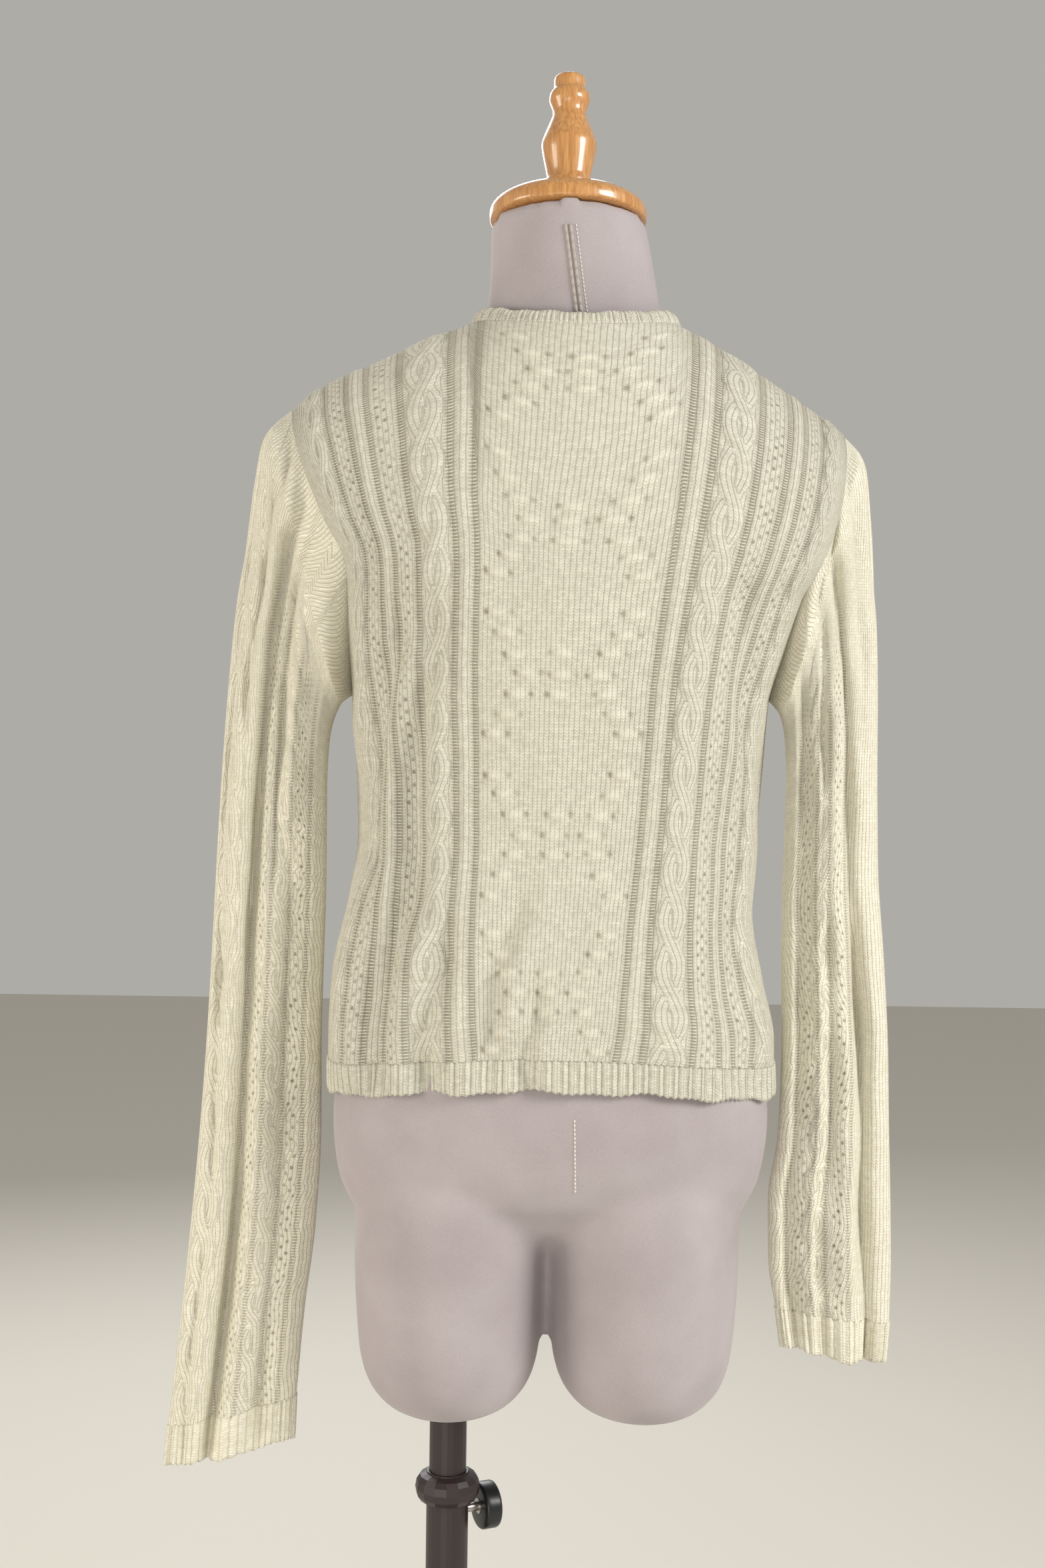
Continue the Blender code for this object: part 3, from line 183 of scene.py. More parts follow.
# Creases of the sleeves on the back (1) or front (-1) face, by the share of the width from the outer edge.
# A negative depth is a ridge.
CREASES = (
    ("left", 1, 0.34, 0.630, 0.39, 1.290, 0.052, 0.0175),
    ("left", 1, 0.22, 0.640, 0.25, 1.250, 0.110, -0.0048),
    ("left", 1, 0.49, 0.640, 0.47, 1.080, 0.110, -0.0048),
    ("left", 1, 0.10, 0.940, 0.07, 1.280, 0.045, 0.0066),
    ("left", 1, 0.16, 0.630, 0.14, 0.930, 0.045, 0.0052),
    ("left", 1, 0.21, 1.130, 0.24, 1.300, 0.050, 0.0095),
    ("left", 1, 0.55, 1.040, 0.54, 1.290, 0.055, 0.0115),
    ("left", 1, 0.68, 1.080, 0.70, 1.230, 0.070, -0.0036),
    ("left", 1, 0.69, 0.650, 0.66, 1.020, 0.045, 0.0060),
    ("left", -1, 0.60, 0.650, 0.55, 1.180, 0.070, 0.0050),
    ("left", -1, 0.22, 0.800, 0.30, 1.200, 0.060, 0.0040),
    ("right", 1, 0.21, 0.680, 0.28, 0.960, 0.050, 0.0130),
    ("right", 1, 0.29, 0.880, 0.42, 1.240, 0.050, 0.0095),
    ("right", 1, 0.38, 0.700, 0.54, 1.150, 0.110, -0.0045),
    ("right", 1, 0.86, 0.700, 0.82, 1.120, 0.050, 0.0066),
    ("right", 1, 0.60, 0.690, 0.57, 0.960, 0.045, 0.0056),
    ("right", 1, 0.62, 1.090, 0.60, 1.260, 0.050, 0.0075),
    ("right", 1, 0.20, 1.150, 0.22, 1.290, 0.060, 0.0030),
    ("right", -1, 0.55, 0.700, 0.50, 1.160, 0.070, 0.0050),
    ("right", -1, 0.25, 0.850, 0.30, 1.180, 0.060, 0.0036),
)
THIGH_X = POLE_X  # the pole enters the middle of the left thigh
THIGH_COLUMNS = ("height", "shift_x", "half_x", "half_y")
# The form's thigh ends and its neck, as oval rings.
THIGH = (
    (0.6500, 0.000, 0.0235, 0.030),
    (0.6525, 0.000, 0.0370, 0.048),
    (0.6600, 0.000, 0.0480, 0.062),
    (0.6730, 0.000, 0.0565, 0.073),
    (0.6900, 0.000, 0.0610, 0.079),
    (0.7256, 0.000, 0.0640, 0.084),
    (0.7800, -0.002, 0.0670, 0.090),
    (0.8050, -0.004, 0.0690, 0.090),
    (0.8400, -0.008, 0.0640, 0.078),
)
NECK_COLUMNS = ("height", "middle_x", "middle_y", "half_x", "half_y")
NECK = (
    (1.330, -0.0100, -0.008, 0.0560, 0.052),
    (1.385, -0.0095, -0.002, 0.0575, 0.054),
    (1.415, -0.0078, 0.002, 0.0545, 0.053),
    (1.447, -0.0045, 0.004, 0.0512, 0.051),
)
NECK_TILT = math.radians(8)
INSET_COLUMNS = ("level", "inset")
# How far the form lies under the cloth's outer face.
INSETS = (
    (0.768, 0.0450),
    (0.780, 0.0200),
    (0.800, 0.0080),
    (0.830, 0.0040),
    (0.865, 0.0045),
    (0.900, 0.0080),
    (0.950, 0.0090),
    (1.040, 0.0130),
    (1.110, 0.0110),
    (1.165, 0.0085),
    (1.210, 0.0060),
    (1.260, 0.0042),
    (1.300, 0.0033),
    (1.396, 0.0033),
)
FRONT_EASE = 0.0075  # the upper fronts hang clear of the form
FORM_NECK_DROP = 0.010  # the form's neck starts this far under the neckband

# ---------------------------------------------------------------------------------------------------
# Reading the tables
# ---------------------------------------------------------------------------------------------------


def column(table, names, name):
    """One column of a table."""
    return np.array([row[names.index(name)] for row in table], float)


def smooth(stops, values, at):
    """Monotone cubic through the table's values."""
    stops, values, at = np.asarray(stops, float), np.asarray(values, float), np.asarray(at, float)
    step = np.diff(stops)
    slope = np.diff(values) / step
    tangent = np.empty_like(values)
    tangent[0], tangent[-1] = slope[0], slope[-1]
    for i in range(1, len(values) - 1):
        same_way = slope[i - 1] * slope[i] > 0
        tangent[i] = 2 * slope[i - 1] * slope[i] / (slope[i - 1] + slope[i]) if same_way else 0.0
    at = np.clip(at, stops[0], stops[-1])
    i = np.clip(np.searchsorted(stops, at, side="right") - 1, 0, len(step) - 1)
    t = (at - stops[i]) / step[i]
    return (
        (2 * t**3 - 3 * t**2 + 1) * values[i]
        + (t**3 - 2 * t**2 + t) * step[i] * tangent[i]
        + (3 * t**2 - 2 * t**3) * values[i + 1]
        + (t**3 - t**2) * step[i] * tangent[i + 1]
    )


def read(table, names, name, at):
    """One column of a table, at values of its first column."""
    return smooth(column(table, names, names[0]), column(table, names, name), at)


def body(name, level):
    """One column of BODY, at these levels."""
    return read(BODY, BODY_COLUMNS, name, level)


def half_width(q, level):
    """Half width of the body, on the side that q is on."""
    return np.where(q > 0, body("left", level), body("right", level))


def ladder_at(hand, level):
    """How far round the back a ladder line lies, from the middle (0) to the side seam (1)."""
    return read(LADDERS, LADDER_COLUMNS, "left" if hand > 0 else "right", level)


def ease_in(start, end, at):
    """0 up to start and 1 from end on, smooth between them."""
    t = np.clip((np.asarray(at, float) - start) / (end - start), 0, 1)
    return t * t * (3 - 2 * t)


def hump(distance, spread):
    """1 at no distance, falling away smoothly to both sides."""
    return np.exp(-((distance / spread) ** 2))


def along_line(low, high, at):
    """The share of the way from low to high, and the distance past the nearer end."""
    along = (at - low) / (high - low)
    return along, np.maximum(np.maximum(-along, along - 1), 0) * (high - low)


def length_along(points):
    """Distance of each point from the first, along their line."""
    return np.concatenate([[0], np.cumsum(np.linalg.norm(np.diff(points, axis=0), axis=1))])


# ---------------------------------------------------------------------------------------------------
# The cloth's surface
# ---------------------------------------------------------------------------------------------------

BACK_NECK_TURN, FRONT_NECK_TURN = 25, 42  # degrees that the cloth still stands up at the neckline
YOKE_BEND = 0.732  # how evenly the yoke closes over the shoulders, 1 being even
ARM_DEPTH, ARM_TOP = 0.055, 1.235  # half depth of the armhole, and the level where it is full
SIDE_LIFT, BACK_LIFT, FRONT_LIFT = -0.010, 0.006, -0.014  # how far each part hangs off its level
HANG_TOP = 1.02  # level where that ends
OVAL, YOKE_OVAL = 2.4, 1.6  # squareness of the body's section, under the arms and over the yoke
FOLD_BEND = 0.006  # sideways bend of a long fold
FOLD_END = 0.025  # length in which a fold dies out
SLACK = 0.0004  # slow unevenness of loose cloth
SEAM_FADE, TOP_FADE = 0.03, 0.012  # folds fade out towards the side seams and the panel's top


def seam_top(side, x):
    """Depth, height and closing angle where a panel ends, at the neckline or the shoulder seam."""
    n = np.clip((x - NECK_X) / NECK_HALF, -1, 1)
    open_part = 1 - n * n
    left, right = (read(SHOULDER, SHOULDER_COLUMNS, name, np.abs(x)) for name in ("left", "right"))
    shoulder = np.where(x > 0, left, right)
    in_neck = np.abs(x - NECK_X) < NECK_HALF
    drop = BACK_NECK_DROP * open_part if side > 0 else FRONT_NECK_DROP * open_part**0.8
    depth = BACK_NECK_DEPTH if side > 0 else FRONT_NECK_DEPTH
    turn = BACK_NECK_TURN if side > 0 else FRONT_NECK_TURN
    z = np.where(in_neck, NECK_HEIGHT - drop, shoulder)
    y = np.where(in_neck, side * depth * np.sqrt(open_part), 0.0)
    return y, z, np.radians(90 - turn * open_part**0.5)


def plain_point(side, way, level):
    """The plain outer face of the back (side 1) or front (side -1). way runs round from -1 at the wearer's
    right side seam to 1 at the left one."""
    way, level = np.broadcast_arrays(np.asarray(way, float), np.asarray(level, float))
    q = np.sin(way * np.pi / 2)
    crown_half = half_width(q, CROWN)
    top_y, top_z, turn = seam_top(side, q * crown_half)
    rise = np.clip((level - YOKE) / (CROWN - YOKE), 0, 1)
    angle = turn * (YOKE_BEND * rise + (1 - YOKE_BEND) * rise**2)
    x = q * half_width(q, level)
    roundness = OVAL + (YOKE_OVAL - OVAL) * ease_in(ARMPIT - 0.02, YOKE, level)
    crown = np.clip(1 - np.abs(q) ** OVAL, 0, 1) ** (1 / roundness)
    arm = ARM_DEPTH * ease_in(ARMPIT, ARM_TOP, level) ** 0.6
    depth = body("back" if side > 0 else "front", level)
    plain_y = side * (arm + (depth - arm) * crown)
    keep = (np.cos(angle) - np.cos(turn)) / (1 - np.cos(turn))
    y = top_y + (plain_y - top_y) * keep
    lift = BACK_LIFT if side > 0 else FRONT_LIFT
    hang = (SIDE_LIFT + (lift - SIDE_LIFT) * (1 - q * q)) * (1 - ease_in(PANEL_LEVEL, HANG_TOP, level))
    z = np.where(level < YOKE, level + hang, YOKE + (top_z - YOKE) * np.sin(angle) / np.sin(turn))
    return np.stack([x, y, z], -1)


def cloth_normal(side, way, level):
    """Which way the plain outer face of the back or front faces."""
    small = 1e-3
    way, level = np.broadcast_arrays(np.asarray(way, float), np.asarray(level, float))
    way_in = np.clip(way, -1 + small, 1 - small)
    level_in = np.clip(level, 0.7, CROWN - small)
    along = plain_point(side, way_in + small, level_in) - plain_point(side, way_in - small, level_in)
    up = plain_point(side, way_in, level_in + small) - plain_point(side, way_in, level_in - small)
    normal = np.cross(up, along) * side
    return normal / np.linalg.norm(normal, axis=-1, keepdims=True)


def fold_height(side, x, level):
    """Height of the folds, outwards, with the slow unevenness of hanging cloth."""
    total = np.zeros(np.broadcast(x, level).shape)
    for row in FOLDS:
        fold = dict(zip(FOLD_COLUMNS, row))
        if fold["side"] != side:
            continue
        along, past = along_line(fold["low"], fold["high"], level)
        bend = FOLD_BEND * np.sin(np.pi * np.clip(along, 0, 1))
        middle = fold["low_x"] + (fold["high_x"] - fold["low_x"]) * np.clip(along, 0, 1) + bend
        total = total + fold["raised"] * hump(x - middle, fold["spread"]) * hump(past, FOLD_END)
    loose = 1 - ease_in(1.10, 1.26, level)
    slow = np.sin(x * 61 + level * 23) + np.sin(x * 97 - level * 41 + 1.3) + np.sin(x * 38 + level * 87 + 0.4)
    return total + SLACK * slow * (0.35 + 0.65 * loose)


def cloth_point(side, way, level, out=0.0):
    """A point of the back or front, moved out along the normal, kept on its own side of the seams."""
    base = plain_point(side, way, level)
    at_seam = ease_in(0, SEAM_FADE, 1 - np.abs(way)) * ease_in(0, TOP_FADE, CROWN - level)
    folded = fold_height(side, base[..., 0], np.asarray(level, float)) * at_seam
    point = base + cloth_normal(side, way, level) * (np.asarray(out) + folded)[..., None]
    point[..., 1] = side * np.maximum(side * point[..., 1], SEAM / 2)
    return point


# ---------------------------------------------------------------------------------------------------
# Materials
# ---------------------------------------------------------------------------------------------------

WALE = 0.0030  # width of a stitch
COURSE = 0.00195  # height of a stitch
EYELET_APART = (0.0038, 0.0039)  # lace holes, across and up


def linear(colour):
    """An sRGB hex colour as linear RGBA."""
    channels = [int(colour[i : i + 2], 16) / 255 for i in (1, 3, 5)]
    return (*[c / 12.92 if c <= 0.04045 else ((c + 0.055) / 1.055) ** 2.4 for c in channels], 1)


def add(tree, kind, inputs=(), **settings):
    """A node with its settings, its input values and its links. A node as an input links its first output."""
    made = tree.nodes.new(kind)
    for name, value in settings.items():
        setattr(made, name, value)
    for socket, value in dict(inputs).items():
        if isinstance(value, bpy.types.Node):
            value = value.outputs[0]
        if isinstance(value, bpy.types.NodeSocket):
            tree.links.new(value, made.inputs[socket])
        else:
            made.inputs[socket].default_value = value
    return made


def new_material(name, **sockets):
    """A material with constants on its shader's sockets, its tree and its shader."""
    made = bpy.data.materials.new(name)
    made.use_nodes = True
    shader = made.node_tree.nodes["Principled BSDF"]
    for socket, value in sockets.items():
        shader.inputs[socket.replace("_", " ")].default_value = value
    return made, made.node_tree, shader


def knitted_viscose(name, yarn, bright, shade):
    """Fine cream viscose and wool knit: rows of V stitches, ladders of loose bars between the ribs, eyelets
    in the lace, all under a soft bloom of fibres. Shade between the wales and in the eyelets and ladder gaps
    is painted into the colour, and so is a highlight on the bobbles. UVs are metres of flat cloth; zones
    says what is where."""
    made, tree, shader = new_material(
        name,
        Roughness=0.78,
        Sheen_Weight=0.25,
        Sheen_Roughness=0.45,
        Sheen_Tint=linear("#fff8e2"),
        Specular_IOR_Level=0.3,
    )
    number, vector = "ShaderNodeMath", "ShaderNodeVectorMath"
    spread, blend = "ShaderNodeMapRange", "ShaderNodeMix"
    noise, chance = "ShaderNodeTexNoise", "ShaderNodeTexWhiteNoise"
    flat = add(tree, "ShaderNodeUVMap", uv_map="cloth")
    wander = add(tree, noise, {"Vector": flat, "Scale": 140.0, "Detail": 2.0}).outputs["Color"]
    moved = add(tree, vector, {0: wander, 1: (0.0011, 0.0011, 0.0), 2: flat}, operation="MULTIPLY_ADD")
    stitches = add(tree, vector, {0: moved, 1: (WALE, COURSE, 1.0)}, operation="DIVIDE")
    split = add(tree, "ShaderNodeSeparateXYZ", {0: stitches})
    # 0 at the middle of a wale and 1 in the gap between two wales
    aside = add(tree, number, {0: split.outputs[0], 1: 0.5}, operation="PINGPONG")
    aside = add(tree, number, {0: aside, 1: 2.0}, operation="MULTIPLY")
    leg = add(tree, number, {0: aside, 1: -0.6, 2: split.outputs[1]}, operation="MULTIPLY_ADD")
    leg = add(tree, number, {0: leg, 1: 2 * math.pi}, operation="MULTIPLY")
    leg = add(tree, number, {0: leg}, operation="COSINE")
    gap = add(tree, number, {0: aside, 1: 5.0}, operation="POWER")
    round_wale = add(tree, number, {0: 1.0, 1: gap}, operation="SUBTRACT")
    crest = add(tree, number, {0: leg, 1: 0.22, 2: 0.78}, operation="MULTIPLY_ADD")
    stitch_height = add(tree, number, {0: round_wale, 1: crest}, operation="MULTIPLY")
    cell = add(tree, vector, {0: stitches}, operation="FLOOR")
    each_stitch = add(tree, chance, {"Vector": cell}, noise_dimensions="2D")
    # bars of the ladders
    turns = add(tree, number, {0: split.outputs[1], 1: 2 * math.pi}, operation="MULTIPLY")
    bar = add(tree, number, {0: turns}, operation="COSINE")
    between_bars = add(tree, spread, {0: bar, 1: 0.35, 2: -0.35, 3: 0.0, 4: 1.0})
    # eyelets of the lace, in two staggered columns
    across, up = EYELET_APART
    lattice = add(tree, vector, {0: moved, 1: (2 * across, 2 * up, 1.0)}, operation="DIVIDE")
    lattice = add(tree, vector, {0: lattice, 1: (2 * math.pi,) * 3}, operation="MULTIPLY")
    lattice = add(tree, vector, {0: lattice}, operation="COSINE")
    lattice = add(tree, "ShaderNodeSeparateXYZ", {0: lattice})
    eyelet = add(tree, number, {0: lattice.outputs[0], 1: lattice.outputs[1]}, operation="MULTIPLY")
    eyelet = add(tree, spread, {0: eyelet, 1: 0.38, 2: 0.90, 3: 0.0, 4: 1.0})
    holes_cell = add(tree, vector, {0: moved, 1: (across, up, 1.0)}, operation="DIVIDE")
    holes_cell = add(tree, vector, {0: holes_cell, 1: (0.5, 0.5, 0.5)}, operation="ADD")
    holes_cell = add(tree, vector, {0: holes_cell}, operation="FLOOR")
    how_open = add(tree, chance, {"Vector": holes_cell}, noise_dimensions="2D")
    how_open = add(tree, spread, {0: how_open, 1: 0.0, 2: 1.0, 3: 0.25, 4: 1.0})
    eyelet = add(tree, number, {0: eyelet, 1: how_open}, operation="MULTIPLY")
    painted = add(tree, "ShaderNodeVertexColor", layer_name="zones")
    ladder, lace, hole = add(tree, "ShaderNodeSeparateColor", {0: painted}).outputs
    ladder_open = add(tree, number, {0: ladder, 1: between_bars}, operation="MULTIPLY")
    lace_open = add(tree, number, {0: lace, 1: eyelet}, operation="MULTIPLY")
    open_part = add(tree, number, {0: ladder_open, 1: lace_open}, operation="MAXIMUM")
    open_part = add(tree, number, {0: open_part, 1: hole}, operation="MAXIMUM")
    # colour: clouds of lighter bloom, painted shade between the wales, a painted highlight on the bobbles, and
    # the darkest painted shade in the eyelets and ladder gaps
    clouds = add(tree, noise, {"Vector": flat, "Scale": 150.0, "Detail": 4.0, "Roughness": 0.65})
    clouds = add(tree, number, {0: each_stitch, 1: 0.40, 2: clouds}, operation="MULTIPLY_ADD")
    clouds = add(tree, spread, {0: clouds, 1: 0.42, 2: 1.0, 3: 0.0, 4: 1.0})
    # painted shade: darker between the wales, where the relief dips
    painted_groove_shade = add(tree, spread, {0: stitch_height, 1: 0.90, 2: 0.10, 3: 0.0, 4: 0.75})
    # painted shade in the eyelets and between the ladders' bars, for the shaded cloth and form seen through
    # them
    painted_hole_shade = add(tree, number, {0: open_part, 1: 0.8}, operation="MULTIPLY")
    colour = linear(yarn)
    for how_much, towards in (
        (clouds, bright),
        (painted_groove_shade, shade),
        # the bobbles' painted highlight
        (painted.outputs[1], "#ebe8d8"),
        (painted_hole_shade, "#7d735d"),
    ):
        colour = add(tree, blend, {0: how_much, 6: colour, 7: linear(towards)}, data_type="RGBA").outputs[2]
    tree.links.new(colour, shader.inputs["Base Color"])
    # relief: stitches, then single fibres and uneven stitches, then holes
    height = add(tree, noise, {"Vector": flat, "Scale": 900.0, "Detail": 4.0})
    height = add(tree, number, {0: height, 1: 0.45, 2: stitch_height}, operation="MULTIPLY_ADD")
    height = add(tree, number, {0: each_stitch, 1: 0.45, 2: height}, operation="MULTIPLY_ADD")
    height = add(tree, number, {0: open_part, 1: -1.4, 2: height}, operation="MULTIPLY_ADD")
    bump = add(tree, "ShaderNodeBump", {"Height": height, "Strength": 0.75, "Distance": 0.0009})
    tree.links.new(bump.outputs[0], shader.inputs["Normal"])
    return made


def covered_jersey():
    """Grey-mauve cotton jersey stretched over a moulded form: a matt, even knit too fine to count, with a
    slight bloom at the edges. The grain is drawn at 0.8 mm, twice its size, so that it shows."""
    made, tree, shader = new_material(
        "cotton jersey, stretched over the form",
        Roughness=0.92,
        Sheen_Weight=0.2,
        Sheen_Roughness=0.5,
        Specular_IOR_Level=0.2,
    )
    place = add(tree, "ShaderNodeTexCoord").outputs["Object"]
    grain = add(tree, "ShaderNodeTexNoise", {"Vector": place, "Scale": 1250.0, "Detail": 2.0})
    worn = add(tree, "ShaderNodeTexNoise", {"Vector": place, "Scale": 14.0, "Detail": 3.0})
    mixed = add(tree, "ShaderNodeMath", {0: grain, 1: 0.55, 2: worn}, operation="MULTIPLY_ADD")
    mixed = add(tree, "ShaderNodeMapRange", {0: mixed, 1: 0.55, 2: 1.0, 3: 0.0, 4: 1.0})
    ends = {0: mixed, 6: linear("#a0979a"), 7: linear("#b0a8ab")}
    colour = add(tree, "ShaderNodeMix", ends, data_type="RGBA").outputs[2]
    tree.links.new(colour, shader.inputs["Base Color"])
    bump = add(tree, "ShaderNodeBump", {"Height": grain, "Strength": 0.3, "Distance": 0.0002})
    tree.links.new(bump.outputs[0], shader.inputs["Normal"])
    return made


def lacquered_beech():
    """Turned beech under clear honey lacquer: warm, with fine grain along the axis and a hard gloss."""
    made, tree, shader = new_material(
        "turned beech, honey lacquer", Roughness=0.38, Coat_Weight=0.8, Coat_Roughness=0.12
    )
    place = add(tree, "ShaderNodeTexCoord").outputs["Object"]
    # grain lines about 1.5 mm apart across, 30 mm long
    stretched = add(
        tree, "ShaderNodeVectorMath", {0: place, 1: (650.0, 650.0, 32.0)}, operation="MULTIPLY"
    )
    grain = add(tree, "ShaderNodeTexNoise", {"Vector": stretched, "Scale": 1.0, "Detail": 4.0})
    shift = add(tree, "ShaderNodeMapRange", {0: grain, 1: 0.3, 2: 0.7, 3: 0.0, 4: 1.0})
    ends = {0: shift, 6: linear("#a9713a"), 7: linear("#cf9a5c")}
    colour = add(tree, "ShaderNodeMix", ends, data_type="RGBA").outputs[2]
    tree.links.new(colour, shader.inputs["Base Color"])
    return made


def powder_coat():
    """Brown-black powder coat on steel tube: satin with a fine orange-peel."""
    made, tree, shader = new_material(
        "powder-coated steel, brown-black", Roughness=0.42, Base_Color=linear("#2b2122")
    )
    place = add(tree, "ShaderNodeTexCoord").outputs["Object"]
    peel = add(tree, "ShaderNodeTexNoise", {"Vector": place, "Scale": 900.0, "Detail": 1.0})
    bump = add(tree, "ShaderNodeBump", {"Height": peel, "Strength": 0.12, "Distance": 0.0002})
    tree.links.new(bump.outputs[0], shader.inputs["Normal"])
    return made


def moulded_black():
    """Black moulded plastic: satin."""
    return new_material("moulded black plastic", Roughness=0.35, Base_Color=linear("#15181a"))[0]


def zinc_plate():
    """Bright zinc plating on a steel screw."""
    return new_material("zinc-plated steel", Roughness=0.3, Metallic=1.0, Base_Color=linear("#b9b6b0"))[0]


def shell_button():
    """Cream imitation-shell button: glossy with a pearly cloud."""
    made, tree, shader = new_material("cream shell button", Roughness=0.25)
    place = add(tree, "ShaderNodeTexCoord").outputs["Object"]
    cloud = add(tree, "ShaderNodeTexNoise", {"Vector": place, "Scale": 240.0, "Detail": 2.0})
    ends = {0: cloud, 6: linear("#d9cfb4"), 7: linear("#efe8d2")}
    colour = add(tree, "ShaderNodeMix", ends, data_type="RGBA").outputs[2]
    tree.links.new(colour, shader.inputs["Base Color"])
    return made


def woven_tape(name, colour):
    """Cotton tape or thread: matt and plain."""
    return new_material(name, Roughness=0.9, Base_Color=linear(colour))[0]


# The sleeves' copy is a little yellower, and it is lighter than the body's as painted light: it makes up for
# the sleeves getting less light than the body.
BODY_KNIT = knitted_viscose("viscose knit, cream", "#c7c4b7", "#dddbce", "#a8a28e")
SLEEVE_KNIT_LIGHTENED = knitted_viscose("viscose knit, cream, yellower at the sleeves", "#e0dccb", "#f1eee1", "#c2bb9f")
JERSEY = covered_jersey()
BEECH = lacquered_beech()
POWDER = powder_coat()
BLACK = moulded_black()
ZINC = zinc_plate()
SHELL = shell_button()
TAPE = woven_tape("cotton zip tape, grey", "#b0a8a2")
THREAD = woven_tape("white sewing thread", "#ded8d0")

# ---------------------------------------------------------------------------------------------------
# Mesh making
# ---------------------------------------------------------------------------------------------------

STEP = 2  # a wall's inner face has one line to so many of its outer face


def finish_mesh(piece, merge=1e-6):
    """Merged, facing outwards and smooth."""
    bpy.ops.object.select_all(action="DESELECT")
    bpy.context.view_layer.objects.active = piece
    piece.select_set(True)
    bpy.ops.object.mode_set(mode="EDIT")
    bpy.ops.mesh.select_all(action="SELECT")
    bpy.ops.mesh.remove_doubles(threshold=merge)
    bpy.ops.mesh.normals_make_consistent(inside=False)
    bpy.ops.object.mode_set(mode="OBJECT")
    bpy.ops.object.shade_smooth()


def mesh_piece(name, points, faces, finish):
    """A piece from its points and faces."""
    mesh = bpy.data.meshes.new(name)
    mesh.from_pydata(points, [], faces)
    mesh.materials.append(finish)
    piece = bpy.data.objects.new(name, mesh)
    bpy.context.scene.collection.objects.link(piece)
    return piece


def joined(parts, name, finish):
    """The parts as one smooth piece."""
    bpy.ops.object.select_all(action="DESELECT")
    for part in parts:
        part.select_set(True)
    bpy.context.view_layer.objects.active = parts[0]
    bpy.ops.object.join()
    parts[0].name = parts[0].data.name = name
    parts[0].data.materials.append(finish)
    bpy.ops.object.shade_smooth()
    return parts[0]


def wall(name, outer, inner, flat, finish, zones=None):
    """A closed cloth wall between an outer and an inner grid. flat is the outer grid's place on the flat
    cloth, and zones its ladder, lace and hole shares and the bobbles' painted highlight."""
    rows, lines = outer.shape[:2]
    inner = inner[::STEP, ::STEP]
    inner_rows, inner_lines = inner.shape[:2]
    outer_at = np.arange(rows * lines).reshape(rows, lines)
    inner_at = np.arange(inner_rows * inner_lines).reshape(inner_rows, inner_lines) + rows * lines
    faces = []
    for grid, turned in ((outer_at, False), (inner_at, True)):
        a, b, c, d = grid[:-1, :-1], grid[:-1, 1:], grid[1:, 1:], grid[1:, :-1]
        order = (d, c, b, a) if turned else (a, b, c, d)
        faces.extend(np.stack(order, -1).reshape(-1, 4).tolist())
    ends = [(outer_at[row], inner_at[row]) for row in (0, -1)]
    is_tube = np.allclose(outer[:, 0], outer[:, -1], atol=1e-7)
    if not is_tube:
        ends += [(outer_at[:, line], inner_at[:, line]) for line in (0, -1)]
    for fine, coarse in ends:
        for i in range(len(coarse) - 1):
            faces.append([*fine[i * STEP : (i + 1) * STEP + 1], coarse[i + 1], coarse[i]])
    points = np.concatenate([outer.reshape(-1, 3), inner.reshape(-1, 3)])
    piece = mesh_piece(name, points.tolist(), faces, finish)
    mesh = piece.data
    flat_all = np.concatenate([flat.reshape(-1, 2), flat[::STEP, ::STEP].reshape(-1, 2)])
    corners = np.empty(len(mesh.loops), np.int32)
    mesh.loops.foreach_get("vertex_index", corners)
    mesh.uv_layers.new(name="cloth").data.foreach_set("uv", flat_all[corners].ravel().astype(np.float32))
    colours = np.zeros((len(points), 4), np.float32)
    if zones is not None:
        colours[: rows * lines, : zones.shape[-1]] = zones.reshape(rows * lines, -1)
    mesh.color_attributes.new("zones", "FLOAT_COLOR", "POINT").data.foreach_set("color", colours.ravel())
    finish_mesh(piece)
    return piece


def rows_of(low, high, pitch):
    """Evenly spaced values from low to high, a whole number of STEPs."""
    count = max(1, round((high - low) / pitch / STEP)) * STEP
    return np.linspace(low, high, count + 1)


def grid_of(across, up):
    """The flat cloth's places, from a row of places across and a column of places up."""
    return np.stack(np.broadcast_arrays(across, up), -1)


# ---------------------------------------------------------------------------------------------------
# Knitting of the body
# ---------------------------------------------------------------------------------------------------

CENTRE_HALF = 0.054  # flat cloth from the middle of the back to a ladder line
SIDE_SPAN = 0.135  # flat cloth from that line to the side seam
CABLE_PITCH = 0.0312
CABLE_HEIGHT = 0.0021
STRAND_APART = 0.0043
STRAND_HALF = 0.0054
# places of the side's knitting, out from the ladder line
LADDER_PLACES = (0.000, 0.012, 0.036, 0.054, 0.066, 0.082)
RIB_PLACES = (0.006, 0.060)
LACE_PLACES = (0.046, 0.074)
BACK_CABLES, FRONT_CABLES = (0.024, 0.094), (0.024,)
LADDER_HALF, LADDER_DEPTH = 0.0019, 0.0008
RIB_HALF, RIB_HEIGHT = 0.0028, 0.0013
LACE_EDGE = (0.0042, 0.0056)  # lace thins out between these half widths
LACE_DEPTH = 0.0003
CHEVRON = (0.0400, 0.0330, 0.0265, 0.0212, 0.0275, 0.0340, 0.0395)  # bobbles from the middle, by row
CHEVRON_REPEAT = 8
BOBBLE_ROWS = 38
BOBBLE_HALF, BOBBLE_TALL, BOBBLE_HEIGHT = 0.0053, 0.0031, 0.0020
BOBBLE_PAINTED_HIGHLIGHT = 0.45  # how much paler a bobble's raised top is painted: a painted highlight
BOBBLE_REACH = 0.012  # height above and below it that a bobble can change
EYELET_ASIDE, EYELET_UP = 0.0078, 0.0004  # from its bobble
EYELET_HALF, EYELET_TALL, EYELET_DEPTH = 0.0017, 0.0019, 0.0012


